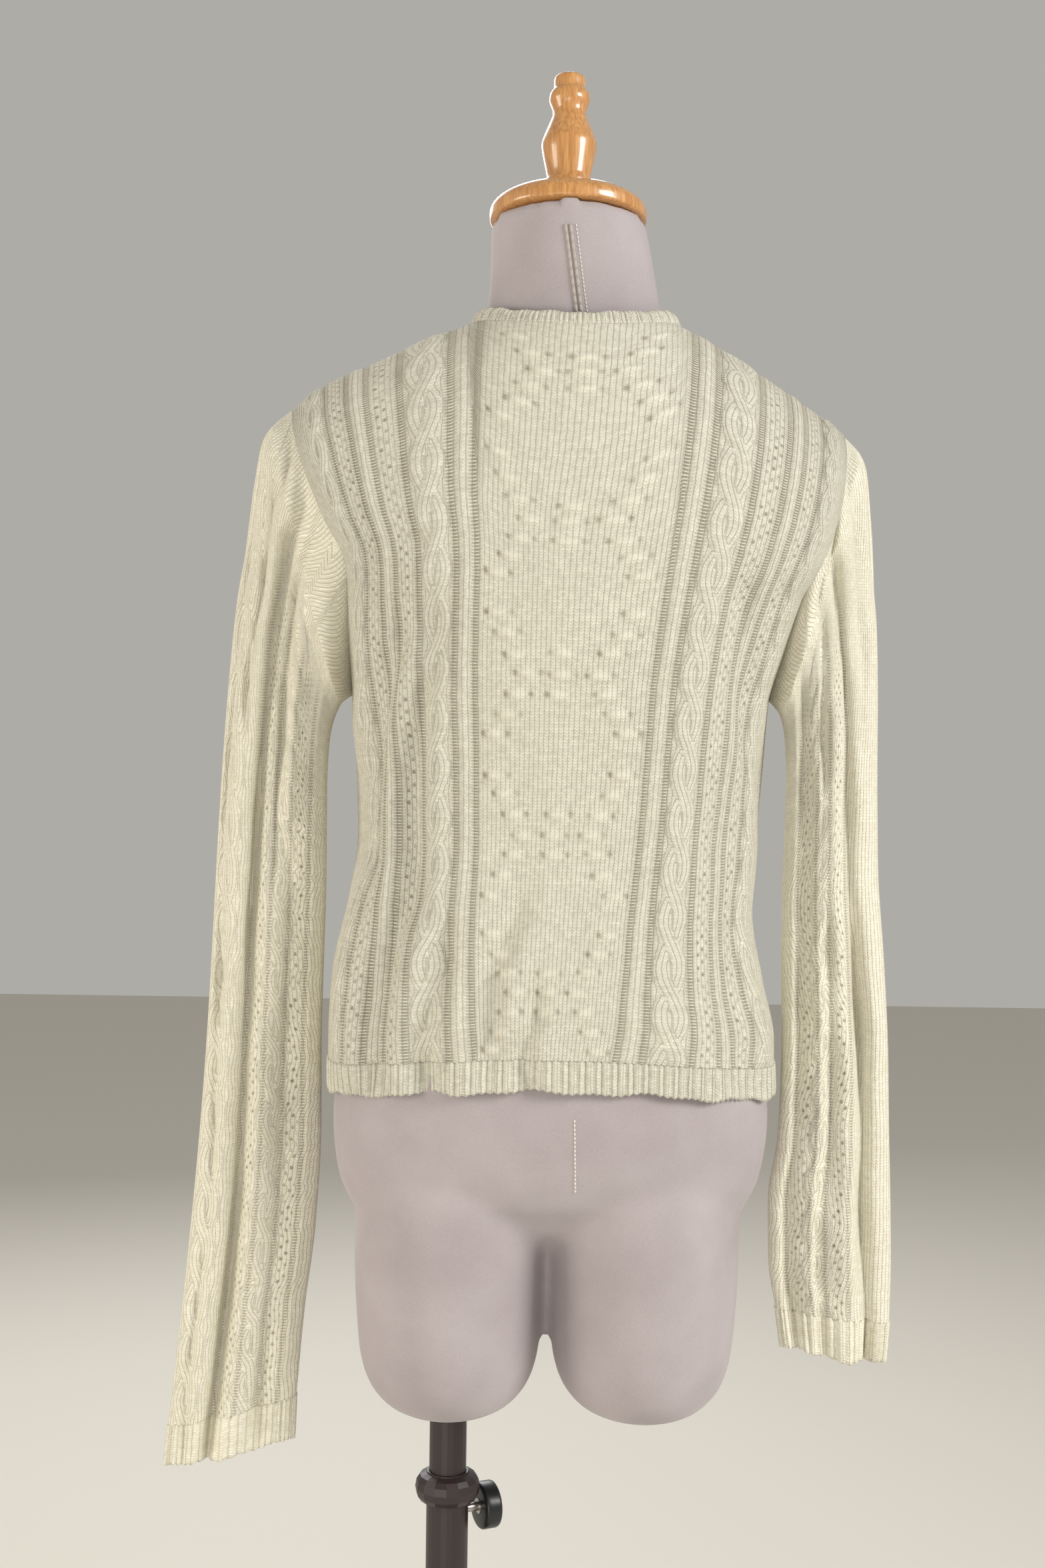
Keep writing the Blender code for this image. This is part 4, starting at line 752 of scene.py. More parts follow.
def cable(across, level):
    """Height of a two-strand cable, and how far the flat cloth's wales follow its strands."""
    phase = np.pi * (level - PANEL_LEVEL) / CABLE_PITCH
    height = np.zeros(np.broadcast(across, level).shape)
    follow = np.zeros_like(height)
    for hand in (1, -1):
        middle = hand * STRAND_APART * np.cos(phase)
        over = 1 + 0.22 * hand * np.sin(phase)
        round_top = np.sqrt(np.clip(1 - ((across - middle) / STRAND_HALF) ** 2, 0, 1)) * over
        follow = np.where(round_top > height, middle, follow)
        height = np.maximum(height, round_top)
    return CABLE_HEIGHT * height, follow


def side_knitting(out, level, cables):
    """Relief, zones and wale shift of the cloth beside the centre, at a distance out from its ladder."""
    shape = np.broadcast(out, level).shape
    raised, ladder, lace, shift = (np.zeros(shape) for _ in range(4))
    for place in LADDER_PLACES:
        ladder = np.maximum(ladder, hump(out - place, LADDER_HALF) ** 0.7)
    for place in RIB_PLACES:
        raised = raised + RIB_HEIGHT * hump(out - place, RIB_HALF)
    for place in LACE_PLACES:
        lace = np.maximum(lace, 1 - ease_in(*LACE_EDGE, np.abs(out - place)))
    for place in cables:
        height, follow = cable(out - place, level)
        raised = raised + height
        shift = np.where(height > 0, follow, shift)
    return raised - LADDER_DEPTH * ladder - LACE_DEPTH * lace, ladder, lace, shift


def bobbles():
    """Each bobble's (across, level, left eyelet, right eyelet), with a hand knitter's unevenness."""
    chance = np.random.default_rng(7)
    found = []
    for row in range(BOBBLE_ROWS):
        step = row % CHEVRON_REPEAT
        level = PANEL_LEVEL + (row + 0.5) * BOBBLE_ROW
        places = [CHEVRON[step], -CHEVRON[step]] if step < len(CHEVRON) else []
        places += [0.0] if 2 <= step <= 4 else []
        for place in places:
            shift = chance.normal(0, 0.0006, 2)
            eyelets = chance.uniform(0.55, 1.0), chance.uniform(0.0, 0.8)
            found.append((place + shift[0], level + shift[1], *eyelets))
    return found


def centre_knitting(across, level):
    """Relief, holes and pale bobbles of the centre panel; the bobbles' paleness is a painted highlight on
    their raised tops.
    """
    raised, hole, pale = (np.zeros(np.broadcast(across, level).shape) for _ in range(3))
    for place, height, left, right in bobbles():
        near = (np.abs(level - height) < BOBBLE_REACH)[:, 0]
        u, v = across[near] - place, level[near] - height
        mound = np.exp(-(((u / BOBBLE_HALF) ** 2 + (v / BOBBLE_TALL) ** 2) ** 1.4))
        raised[near] += BOBBLE_HEIGHT * mound
        # painted highlight: paler where the bobble is raised
        pale[near] = np.maximum(pale[near], BOBBLE_PAINTED_HIGHLIGHT * mound)
        for aside, strength in ((EYELET_ASIDE, left), (-EYELET_ASIDE, right)):
            off = ((u - aside) / EYELET_HALF) ** 2 + ((v - EYELET_UP) / EYELET_TALL) ** 2
            hole[near] = np.maximum(hole[near], strength * np.exp(-(off**1.5)))
    return raised - EYELET_DEPTH * hole, hole, pale


def back_grid():
    """Places of the back's grid on the flat cloth, finer where it is patterned."""
    side = np.concatenate([rows_of(0, 0.104, 0.0015), rows_of(0.104, SIDE_SPAN, 0.0030)[1:]])
    centre = rows_of(-CENTRE_HALF, CENTRE_HALF, 0.0015)
    across = np.concatenate([-CENTRE_HALF - side[::-1], centre[1:-1], CENTRE_HALF + side])[None, :]
    level = rows_of(PANEL_LEVEL, CROWN, 0.0016)[:, None]
    return across, level


def back_way(across, level):
    """How far round the back a place on the flat cloth lies."""
    left, right = ladder_at(1, level), ladder_at(-1, level)
    middle = (left - right) / 2 + across / CENTRE_HALF * (left + right) / 2
    out = np.abs(across) - CENTRE_HALF
    inner = np.where(across > 0, left, right)
    side = np.sign(across) * (inner + out / SIDE_SPAN * (1 - inner))
    return np.where(out > 0, side, middle)


def fade_at_edges(level):
    """Less relief at the shoulder, none at the seams."""
    to_shoulder = 0.3 + 0.7 * ease_in(0, 0.05, CROWN - level)
    return ease_in(0, 0.006, level - PANEL_LEVEL) * ease_in(0, 0.004, CROWN - level) * to_shoulder


def back_panel():
    """The back: a centre of bobbles and eyelets between ladder lines, with cables, ribs and lace beside it."""
    across, level = back_grid()
    way = back_way(across, level)
    out = np.abs(across) - CENTRE_HALF
    raised, ladder, lace, shift = side_knitting(out, level, BACK_CABLES)
    bumps, hole, pale = centre_knitting(np.broadcast_to(across, way.shape), np.broadcast_to(level, way.shape))
    ladder = np.where(out > -0.006, ladder, 0)
    raised = np.where(out > -0.003, raised, 0) + bumps
    raised *= fade_at_edges(level)
    flat = grid_of(across - np.sign(across) * shift, level)
    # the fourth zone is the bobbles' painted highlight
    zones = np.stack([ladder, np.where(out > 0, lace, 0), hole, pale], -1)
    outer, inner = (cloth_point(1, way, level, lift) for lift in (raised, -WALL))
    return wall("cardigan_back", outer, inner, flat, BODY_KNIT, zones)


def band_way(hand, level, width):
    """How far round the front a place lies that is so far from the middle."""
    half = half_width(np.full_like(level, hand), level)
    return hand * np.arcsin(width / half) * 2 / np.pi


FRONT_LADDER = 0.14  # how far round the front's inner ladder lies
FRONT_FIELD = 0.021  # flat cloth between the button band and that ladder
FRONT_START = 0.05  # where the front's flat cloth is counted from, past that ladder


def front_panel(name, hand):
    """A front: plain by the button band, then the back's side knitting with one cable."""
    side = np.concatenate([rows_of(0, 0.088, 0.0018), rows_of(0.088, SIDE_SPAN, 0.0036)[1:]])
    out = np.concatenate([rows_of(-FRONT_FIELD, 0, 0.0020), side[1:]])[None, :]
    level = rows_of(PANEL_LEVEL, CROWN, 0.0020)[:, None]
    start = np.abs(band_way(hand, level, BAND_HALF + SEAM))
    field = start + (out / FRONT_FIELD + 1) * (FRONT_LADDER - start)
    beyond = FRONT_LADDER + out / SIDE_SPAN * (1 - FRONT_LADDER)
    way = hand * np.where(out > 0, beyond, field)
    raised, ladder, lace, shift = side_knitting(out, level, FRONT_CABLES)
    raised = raised * fade_at_edges(level) * ease_in(-FRONT_FIELD, -FRONT_FIELD + 0.004, out)
    flat = grid_of(hand * (out + FRONT_START - shift), level)
    zones = np.stack([ladder, np.where(out > 0, lace, 0)], -1)
    outer, inner = (cloth_point(-1, way, level, lift) for lift in (raised, -WALL))
    return wall(name, outer, inner, flat, BODY_KNIT, zones)


HEM_RIB_PITCH = 0.0045
HEM_RIB_HEIGHT = 0.0007
HEM_REACH = 0.205  # hem from the middle of the back or front round to the side seam


def hem(name, side, start, end):
    """A ribbed welt under a panel, a little wavy at its lower edge."""
    reach = abs(end - start) * HEM_REACH
    ribs = round(reach / HEM_RIB_PITCH)
    way = np.linspace(start, end, 8 * ribs // STEP * STEP + 1)[None, :]
    level = rows_of(HEM_LEVEL, PANEL_LEVEL + SEAM, 0.0020)[:, None]
    along = (way - start) / (end - start) * reach
    rib = np.cos(2 * np.pi * along / (reach / ribs))
    fade = ease_in(0, 0.0045, level - HEM_LEVEL) * 0.6 + 0.4
    raised = (HEM_RIB_HEIGHT * rib + 0.0001) * fade
    down = 1 - ease_in(HEM_LEVEL, PANEL_LEVEL, level)
    wave = 0.0010 * np.sin(way * 19 + 0.7) + 0.0007 * np.sin(way * 43) - 0.0005 * rib
    faces = []
    for lift in (raised, -WALL):
        face = cloth_point(side, way, level, lift)
        face[..., 2] += down * wave
        faces.append(face)
    return wall(name, *faces, grid_of(along, level), BODY_KNIT)


# ---------------------------------------------------------------------------------------------------
# Sleeves
# ---------------------------------------------------------------------------------------------------

SLEEVE_WIDE = 0.085  # flat width of a sleeve laid double
SLEEVE_LINES, SLEEVE_ROWS = 128, 400
HEAD_RINGS = 12  # rings from the armhole's edge to the sleeve's own shape
HEAD_DROP = 0.03  # the armhole's middle under halfway between neck and armpit
LEAST_THICK = 0.012  # cloth of the two faces never comes closer than this in a crease
GATHERS = 11
GATHER_OUT, GATHER_DEEP = 0.0026, 0.0016
GATHER_SPREAD, GATHER_RUN = 1.15, 0.26  # how far round the head they lie, and down the sleeve
LACE_SHARES = {"left": (0.44, 0.77), "right": (0.47, 0.78)}  # of the width, from the outer edge
SLEEVE_CABLES = {"left": (0.13, 0.605), "right": (0.63,)}
SLEEVE_LACE_EDGE = (0.0034, 0.0048)
SLEEVE_LADDER_ASIDE, SLEEVE_LADDER_HALF = 0.0075, 0.0014  # beside the lace
SLEEVE_RIB_ASIDE, SLEEVE_RIB_HALF, SLEEVE_RIB_HEIGHT = 0.0105, 0.0022, 0.0008
SLEEVE_CABLE_SHARE = 0.7  # height of a sleeve's cable, against one of the body
HOLLOW = 0.0005  # depth of a sleeve's lace and ladders
CUFF_RIBS = 42
CUFF_RIB_HEIGHT = 0.0007
CUFF_LENGTH = 0.03


def armhole(hand, turn):
    """Points of the armhole's edge. turn goes round from the shoulder, down the back and up the front."""
    share_down = (1 - np.cos(turn)) / 2
    level = CROWN + (ARMPIT - CROWN) * share_down
    back = plain_point(1, hand + 0 * level, level)
    front = plain_point(-1, hand + 0 * level, level)
    return np.where((np.sin(turn) >= 0)[:, None], back, front)


def crease_depth(hand_name, turn, height, across):
    """Depth of a sleeve's creases, each a little winding and uneven."""
    face = np.where(np.sin(turn) >= 0, 1, -1)
    depth = np.zeros(np.broadcast(turn, height).shape)
    for row in CREASES:
        crease = dict(zip(CREASE_COLUMNS, row))
        if crease["sleeve"] != hand_name:
            continue
        low, high = crease["low_share"], crease["high_share"]
        along, past = along_line(crease["low"], crease["high"], height)
        wander = 0.012 * np.sin(9 * along + low * 20)
        middle = low + (high - low) * np.clip(along, 0, 1)
        uneven = 1 + 0.25 * np.sin(14 * along + high * 31)
        off = np.abs(across - middle - wander) / crease["spread"]
        here = crease["depth"] * uneven * np.exp(-(off**1.3)) * hump(past, 0.03)
        depth = depth + np.where(face == crease["face"], here, 0)
    return depth


def sleeve_grid(table, hand_name, at, turn, out):
    """Points of a sleeve: at runs down the table's rows, turn round from the outer edge over the back."""
    rows = np.arange(len(table))
    get = {name: smooth(rows, column(table, SLEEVE_COLUMNS, name), at)[:, None] for name in SLEEVE_COLUMNS}
    outer = np.stack([get["outer_x"], get["middle_y"], get["outer_z"]], -1)
    inner = np.stack([get["inner_x"], get["middle_y"], get["inner_z"]], -1)
    middle, arm = (outer + inner) / 2, (outer - inner) / 2
    length = np.linalg.norm(arm, axis=-1, keepdims=True)
    cos, sin = np.cos(turn)[None, :], np.sin(turn)[None, :]
    width = length[..., 0] + out
    thick = get["thick"] / 2 + out
    across = np.sign(cos) * np.abs(cos) ** 0.9 * width
    depth = np.sign(sin) * np.abs(sin) ** 0.75 * thick
    centre = middle + across[..., None] * (arm / length)
    share = (1 - across / width) / 2
    crease = crease_depth(hand_name, turn[None, :], centre[..., 2], share)
    depth = depth - np.sign(sin) * np.minimum(crease, get["thick"] - LEAST_THICK)
    slow = np.sin(centre[..., 2] * 55 + share * 9) + np.sin(centre[..., 2] * 91 - share * 14 + 1.1)
    centre[..., 1] += depth + np.sign(sin) * 0.0006 * slow * np.abs(sin)
    return centre, share


def sleeve_knitting(hand_name, share, run, back):
    """Relief, zones and wale shift of a sleeve: lace between ladders, and cables on the back."""
    raised, ladder, lace, shift = (np.zeros(share.shape) for _ in range(4))
    for place in LACE_SHARES[hand_name]:
        off = (share - place) * SLEEVE_WIDE
        lace = np.maximum(lace, 1 - ease_in(*SLEEVE_LACE_EDGE, np.abs(off)))
        ladder = np.maximum(ladder, 0.8 * hump(np.abs(off) - SLEEVE_LADDER_ASIDE, SLEEVE_LADDER_HALF))
        raised = raised + SLEEVE_RIB_HEIGHT * hump(np.abs(off) - SLEEVE_RIB_ASIDE, SLEEVE_RIB_HALF)
    for place in SLEEVE_CABLES[hand_name]:
        height, follow = cable((share - place) * SLEEVE_WIDE, -run)
        raised = raised + SLEEVE_CABLE_SHARE * height * back
        shift = np.where((height > 0) & back, follow, shift)
    return raised, ladder, lace, shift


def hung_from_head(grid, hand, turn, out):
    """A sleeve's grid with its first rings drawn over to the armhole's edge."""
    edge = armhole(hand, turn)
    edge[:, 0] += hand * SLEEVE_GAP
    away = edge - np.array([0.0, 0.0, (NECK_HEIGHT + ARMPIT) / 2 - HEAD_DROP])
    away[:, 0] = 0
    head = edge + out * away / np.linalg.norm(away, axis=1)[:, None]
    t = ease_in(0, 1, np.arange(HEAD_RINGS) / HEAD_RINGS)[:, None, None]
    return np.concatenate([head * (1 - t) + grid[:HEAD_RINGS] * t, grid[HEAD_RINGS:]])


def whole_steps(grid):
    """The grid with a whole number of STEPs in its rows."""
    rows = (len(grid) - 1) // STEP * STEP + 1
    return grid[np.round(np.linspace(0, len(grid) - 1, rows)).astype(int)]


def closed(grid):
    """The grid with its last line of points on its first."""
    return np.concatenate([grid[:, :-1], grid[:, :1]], axis=1)


def sleeve(name, hand, table):
    """An empty sleeve, knitted, creased, and gathered into its armhole."""
    hand_name = "left" if hand > 0 else "right"
    turn = np.linspace(0, 2 * np.pi, SLEEVE_LINES + 1)
    at = np.linspace(0, len(table) - 1, SLEEVE_ROWS)
    reach = np.linspace(0, 1, SLEEVE_ROWS)[:, None]
    back = (np.sin(turn) >= 0)[None, :]
    plain, share = sleeve_grid(table, hand_name, at, turn, 0.0)
    run = length_along(plain[:, SLEEVE_LINES // 4])[:, None]
    raised, ladder, lace, shift = sleeve_knitting(hand_name, share, run, back)
    off_head = ease_in(0.10, 0.20, reach)
    lace, ladder = lace * off_head, ladder * off_head
    at_ends = ease_in(0, 0.05, reach) * ease_in(0, 0.03, 1 - reach)
    raised = (raised - HOLLOW * (lace + ladder)) * at_ends
    knitted, _ = sleeve_grid(table, hand_name, at, turn, raised)
    # gathers over the sleeve's head
    top = hump(np.minimum(turn, 2 * np.pi - turn), GATHER_SPREAD)[None, :]
    down = np.sin(np.pi * np.clip(reach / GATHER_RUN, 0, 1)) ** 0.8
    tucks = np.cos(turn * GATHERS)[None, :] * down
    knitted[..., 0] += hand * GATHER_OUT * top * tucks
    knitted[..., 1] += np.sign(np.sin(turn))[None, :] * GATHER_DEEP * tucks * hump(share - 0.3, 0.3)
    lining_side, _ = sleeve_grid(table, hand_name, at, turn, -WALL)
    outer = closed(whole_steps(hung_from_head(knitted, hand, turn, 0.0)))
    inner = closed(whole_steps(hung_from_head(lining_side, hand, turn, -WALL)))
    round_ring = np.cumsum(np.linalg.norm(np.diff(outer, axis=1, prepend=outer[:, :1]), axis=-1), axis=1)
    flat = grid_of(round_ring - whole_steps(shift), outer[..., 2])
    zones = whole_steps(np.stack([ladder * back, lace * back], -1))
    return wall(name, outer, inner, flat, SLEEVE_KNIT_LIGHTENED, zones)


def cuff(name, hand, table):
    """A ribbed cuff, a little wavy at its edge."""
    hand_name = "left" if hand > 0 else "right"
    turn = np.linspace(0, 2 * np.pi, CUFF_RIBS * 8 + 1)
    at = np.linspace(0, 1, 13)
    rib = np.cos(turn * CUFF_RIBS)
    raised = CUFF_RIB_HEIGHT * rib[None, :] * (0.5 + 0.5 * ease_in(0, 0.2, 1 - at))[:, None]
    wave = 0.0012 * np.sin(turn * 3 + 0.5) + 0.0006 * np.cos(turn * 11) - 0.0005 * rib
    faces = []
    for lift in (raised, -WALL):
        face, _ = sleeve_grid(table, hand_name, at, turn, lift)
        face[..., 2] += ease_in(0.3, 1, at)[:, None] * wave
        faces.append(closed(face))
    flat = grid_of((turn / np.pi * SLEEVE_WIDE)[None, :], -CUFF_LENGTH * at[:, None])
    return wall(name, *faces, flat, SLEEVE_KNIT_LIGHTENED)


# ---------------------------------------------------------------------------------------------------
# Neckband, button bands, buttons
# ---------------------------------------------------------------------------------------------------

NECKBAND_HEIGHT = 0.010
NECKBAND_WALL = 0.0020
NECKBAND_GAP = -0.0002  # the neckband starts so far over the neckline
NECKBAND_RIB_PITCH, NECKBAND_RIB_HEIGHT = 0.0042, 0.0006
NECKBAND_ROLL = 0.0010  # its upper edge rolls in by so much
NECKBAND_SLOPE, FRONT_SLOPE = 62, 40  # degrees that it rises at the back, and at the front
BUTTON = (
    (0.0050, 0.0),
    (0.0060, 0.0006),
    (0.0065, 0.0014),
    (0.0063, 0.0022),
    (0.0056, 0.0027),
    (0.0046, 0.0025),
    (0.0040, 0.0019),
    (0.0020, 0.0018),
    (0.0004, 0.0018),
)
THREAD_RADIUS, THREAD_LENGTH, THREAD_HEIGHT = 0.00035, 0.0034, 0.0020


def neck_rise(turn, x):
    """Which way the neckband rises off the neckline, and which way its outer side faces."""
    in_front = np.clip(-np.sin(turn), 0, 1)
    away = np.where(np.sin(turn) < 0, np.clip((np.abs(x) - BAND_HALF) / 0.02, 0, 1), 1)
    lean = np.stack([-np.cos(turn) * away, -np.sin(turn), 0 * turn], -1)
    lean = lean / np.linalg.norm(lean, axis=1)[:, None]
    up = np.array([0.0, 0.0, 1.0])
    slope = np.radians(NECKBAND_SLOPE + (FRONT_SLOPE - NECKBAND_SLOPE) * in_front)[:, None]
    return np.cos(slope) * lean + np.sin(slope) * up, -np.sin(slope) * lean + np.cos(slope) * up


def neckband():
    """A narrow ribbed band round the neck, open at the front, with a rounded upper edge."""
    from_left = math.acos((BAND_HALF + SEAM - NECK_X) / NECK_HALF)
    to_right = math.acos((-BAND_HALF - SEAM - NECK_X) / NECK_HALF)
    sides = ((-1, from_left, 0.0, 150), (1, 0.0, math.pi, 410), (-1, math.pi, to_right, 240))
    turns, feet = [], []
    for side, start, end, lines in sides:
        angle = np.linspace(start, end, lines + 1)[(1 if turns else 0) :]
        x = NECK_X + NECK_HALF * np.cos(angle)
        way = np.arcsin(x / half_width(x, CROWN)) * 2 / np.pi
        feet.append(plain_point(side, way, np.full_like(way, CROWN)))
        turns.append(side * angle)
    turn, foot = np.concatenate(turns), np.concatenate(feet)
    rise, face = neck_rise(turn, foot[:, 0])
    foot = foot + rise * NECKBAND_GAP
    run = length_along(foot)
    height = np.linspace(0, 1, 9)[:, None]
    uneven = 1 + 0.06 * np.sin(run * 130) + 0.05 * np.sin(run * 310)
    middle = foot + (rise * uneven[:, None]) * (height * NECKBAND_HEIGHT)[..., None]
    rib = NECKBAND_RIB_HEIGHT * np.cos(2 * np.pi * run / NECKBAND_RIB_PITCH) + 0.0003 * np.sin(run * 90)
    raised = rib * np.sin(np.pi * np.clip(height, 0.05, 0.9)) - NECKBAND_ROLL * ease_in(0.75, 1, height)
    outer, inner = middle + face * raised[..., None], middle - face * NECKBAND_WALL
    return wall("neckband_knit", outer, inner, grid_of(run, height * NECKBAND_HEIGHT), BODY_KNIT)


def button_band(name, lift):
    """A band down the front from the hem to the neckband's top, with softened edges."""
    level = rows_of(HEM_LEVEL, CROWN, 0.0030)
    past_crown = NECKBAND_HEIGHT * np.linspace(0.25, 1, 4)[:, None]
    rise, _ = neck_rise(np.array([-np.pi / 2]), np.zeros(1))
    normal = cloth_normal(-1, 0 * level, level)
    across = np.linspace(-1, 1, 17)
    outer, inner = [], []
    for share in across:
        way = np.sign(share) * np.abs(band_way(1 if share > 0 else -1, level, BAND_HALF * abs(share)))
        point = plain_point(-1, way, level)
        round_edge = -0.0005 * abs(share) ** 6 + 0.0003 * math.cos(share * math.pi * 4)
        for lines, out in ((outer, lift + round_edge), (inner, lift - WALL)):
            line = point + normal * out
            lines.append(np.concatenate([line, line[-1:] + rise * past_crown]))
    flat = grid_of(across * BAND_HALF, np.concatenate([level[:, None], CROWN + past_crown]))
    return wall(name, np.stack(outer, 1), np.stack(inner, 1), flat, BODY_KNIT)


def turned_piece(name, profile, finish, sides, matrix, fine=3):
    """Turned on a lathe: a ring is extruded and resized up the profile of (radius, height), then closed at
    both ends."""
    profile = np.array(profile, float)
    run = length_along(profile)
    stops = [np.linspace(low, high, fine, endpoint=False) for low, high in zip(run, run[1:])]
    finer = np.concatenate([*stops, run[-1:]])
    radii, heights = smooth(run, profile[:, 0], finer), smooth(run, profile[:, 1], finer)
    bpy.ops.object.select_all(action="DESELECT")
    bpy.ops.mesh.primitive_circle_add(
        vertices=sides, radius=float(radii[0]), location=(0, 0, float(heights[0])), fill_type="NGON"
    )
    piece = bpy.context.object
    bpy.ops.object.transform_apply(location=True)
    piece.name = piece.data.name = name
    bpy.ops.object.mode_set(mode="EDIT")
    bpy.ops.mesh.select_all(action="SELECT")
    for before, radius, low, high in zip(radii, radii[1:], heights, heights[1:]):
        bpy.ops.mesh.extrude_region_move(TRANSFORM_OT_translate={"value": (0, 0, float(high - low))})
        grow = float(radius / before)
        bpy.ops.transform.resize(value=(grow, grow, 1), center_override=(0, 0, float(high)))
    bpy.ops.object.mode_set(mode="OBJECT")
    piece.data.transform(matrix)
    piece.data.materials.append(finish)
    finish_mesh(piece)
    bpy.ops.object.shade_smooth_by_angle(angle=math.radians(42))
    return piece


def button(number, level):
    """A round button with a sunk middle, sewn on with a cross of thread."""
    normal = Vector(cloth_normal(-1, np.array([0.0]), np.array([level]))[0])
    seat = Vector(plain_point(-1, np.array([0.0]), np.array([level]))[0])
    turn = normal.to_track_quat("Z", "Y").to_matrix().to_4x4()
    place = Matrix.Translation(seat + normal * (RIGHT_BAND_LIFT + BUTTON_GAP)) @ turn
    disc = turned_piece(f"button_{number}_shell", BUTTON, SHELL, 40, place, fine=2)
    bars = []
    for degrees in (45, -45):
        bpy.ops.mesh.primitive_cylinder_add(vertices=8, radius=THREAD_RADIUS, depth=THREAD_LENGTH)
        bars.append(bpy.context.object)
        lie = Matrix.Rotation(math.radians(degrees), 4, "Z") @ Matrix.Rotation(math.pi / 2, 4, "Y")
        bars[-1].data.transform(place @ Matrix.Translation((0, 0, THREAD_HEIGHT)) @ lie)
    return disc, joined(bars, f"button_{number}_thread", THREAD)


# ---------------------------------------------------------------------------------------------------
# Dress form
# ---------------------------------------------------------------------------------------------------

RINGS, RING_POINTS = 60, 72  # of the neck and each thigh
VOXEL = 0.0045


def joined_grid(rings):
    """Faces of a stack of closed rings, with both ends filled."""
    count = len(rings[0])
    at = np.arange(len(rings) * count).reshape(len(rings), count)
    a, b = at[:-1], np.roll(at[:-1], -1, axis=1)
    d, c = at[1:], np.roll(at[1:], -1, axis=1)
    faces = np.stack([a, b, c, d], -1).reshape(-1, 4).tolist()
    return np.concatenate(rings).tolist(), faces + [at[0].tolist(), at[-1].tolist()]


def torso():
    """The body from the thighs to the neckline, as far under the cloth as the insets say."""
    below, above = np.linspace(0.81, 1.20, 60), np.linspace(1.206, CROWN, 50)
    ways = np.linspace(-1, 1, 91)
    rings = []
    for level in (*np.linspace(0.768, 0.80, 8), *below, *above):
        inset = read(INSETS, INSET_COLUMNS, "inset", level)
        eased = FRONT_EASE * ease_in(1.22, 1.27, level) * (1 - ease_in(CROWN - 0.03, CROWN, level))
        drop = FORM_NECK_DROP * ease_in(CROWN - 0.02, CROWN, level)
        ring = []
        for side, row in ((1, ways), (-1, ways[::-1])):
            room = inset + (eased if side < 0 else 0)
            points = plain_point(side, row, level) - cloth_normal(side, row, level) * room
            points[:, 1] = side * np.maximum(side * points[:, 1], 0.0002)
            from_neck = np.abs(points[:, 0] - NECK_X) - NECK_HALF
            points[:, 2] -= drop * (1 - ease_in(-0.004, 0.035, from_neck))
            ring.append(points[:-1])
        rings.append(np.concatenate(ring))
    return joined_grid(rings)


def lofted(table, names, heights, place):
    """Oval rings at these heights, sized by the table. place says where each one's middle lies and how it
    tilts."""
    turn = np.linspace(0, 2 * np.pi, RING_POINTS, endpoint=False)
    rings = []
    for height in heights:
        part = {name: float(read(table, names, name, height)) for name in names}
        middle, tilt = place(part)
        ring = np.stack([part["half_x"] * np.cos(turn), part["half_y"] * np.sin(turn), 0 * turn], -1)
        rings.append(ring @ np.array(tilt).T + middle)
    return joined_grid(rings)


def thigh(hand):
    """A short rounded thigh end, with more rings at its lower end."""
    low, high = THIGH[0][0], THIGH[-1][0]

    def place(part):
        return (hand * (THIGH_X + part["shift_x"]), 0.002, part["height"]), Matrix.Identity(3)

    return lofted(THIGH, THIGH_COLUMNS, low + (high - low) * np.linspace(0, 1, RINGS) ** 1.8, place)


def neck():
    """The neck, tilting back as it rises."""
    low, high = NECK[0][0], NECK[-1][0]

    def place(part):
        lean = NECK_TILT * (part["height"] - low) / (high - low)
        return (part["middle_x"], part["middle_y"], part["height"]), Matrix.Rotation(lean, 3, "X")

    return lofted(NECK, NECK_COLUMNS, np.linspace(low, high, RINGS), place)


def dress_form():
    """Torso, neck and thigh stumps made one by a voxel remesh, so that they flow into each other."""
    points, faces = [], []
    for more_points, more_faces in (torso(), thigh(1), thigh(-1), neck()):
        start = len(points)
        points.extend(more_points)
        faces.extend([[i + start for i in face] for face in more_faces])
    piece = mesh_piece("form_jersey", points, faces, JERSEY)
    finish_mesh(piece, merge=2e-4)
    remesh = piece.modifiers.new("one body", "REMESH")
    remesh.mode = "VOXEL"
    remesh.voxel_size = VOXEL
    relax = piece.modifiers.new("stretched cover", "SMOOTH")
    relax.factor = 0.5
    relax.iterations = 6
    for modifier in ("one body", "stretched cover"):
        bpy.ops.object.modifier_apply(modifier=modifier)
    bpy.ops.object.shade_smooth()
    return piece


# ---------------------------------------------------------------------------------------------------
# Making every piece
# ---------------------------------------------------------------------------------------------------

CAP_RADIUS, CAP_RIM, CAP_DOME = 0.0522, 0.006, 0.022
# Turned pieces, by radius and height.
FINIAL = (
    (0.0150, 0.0),
    (0.0158, 0.0045),
    (0.0146, 0.0085),
    (0.0150, 0.0120),
    (0.0172, 0.0230),
    (0.0184, 0.0310),
    (0.0175, 0.0350),
    (0.0140, 0.0440),
    (0.0110, 0.0530),
    (0.0115, 0.0560),
    (0.0136, 0.0620),
    (0.0130, 0.0665),
    (0.0104, 0.0700),
    (0.0104, 0.0765),
    (0.0085, 0.0785),
    (0.0010, 0.0790),
)
BASE = (
    (0.1960, 0.0),
    (0.1995, 0.0008),
    (0.2000, 0.0020),
    (0.1975, 0.0055),
    (0.1900, 0.0080),
    (0.0290, 0.0120),
    (0.0262, 0.0135),
    (0.0240, 0.0260),
    (0.0220, 0.0277),
    (0.0150, 0.0280),
)
KNOB = (
    (0.0125, 0.0232),
    (0.0150, 0.0236),
    (0.0160, 0.0250),
    (0.0160, 0.0334),
    (0.0150, 0.0350),
    (0.0115, 0.0352),
    (0.0108, 0.0342),
    (0.0010, 0.0340),
)
SCREW = ((0.0030, 0.0136), (0.0032, 0.0142), (0.0032, 0.0226), (0.0052, 0.0228), (0.0052, 0.0233))
KNOB_HEIGHT = 0.573
KNOB_TURN = math.radians(25)


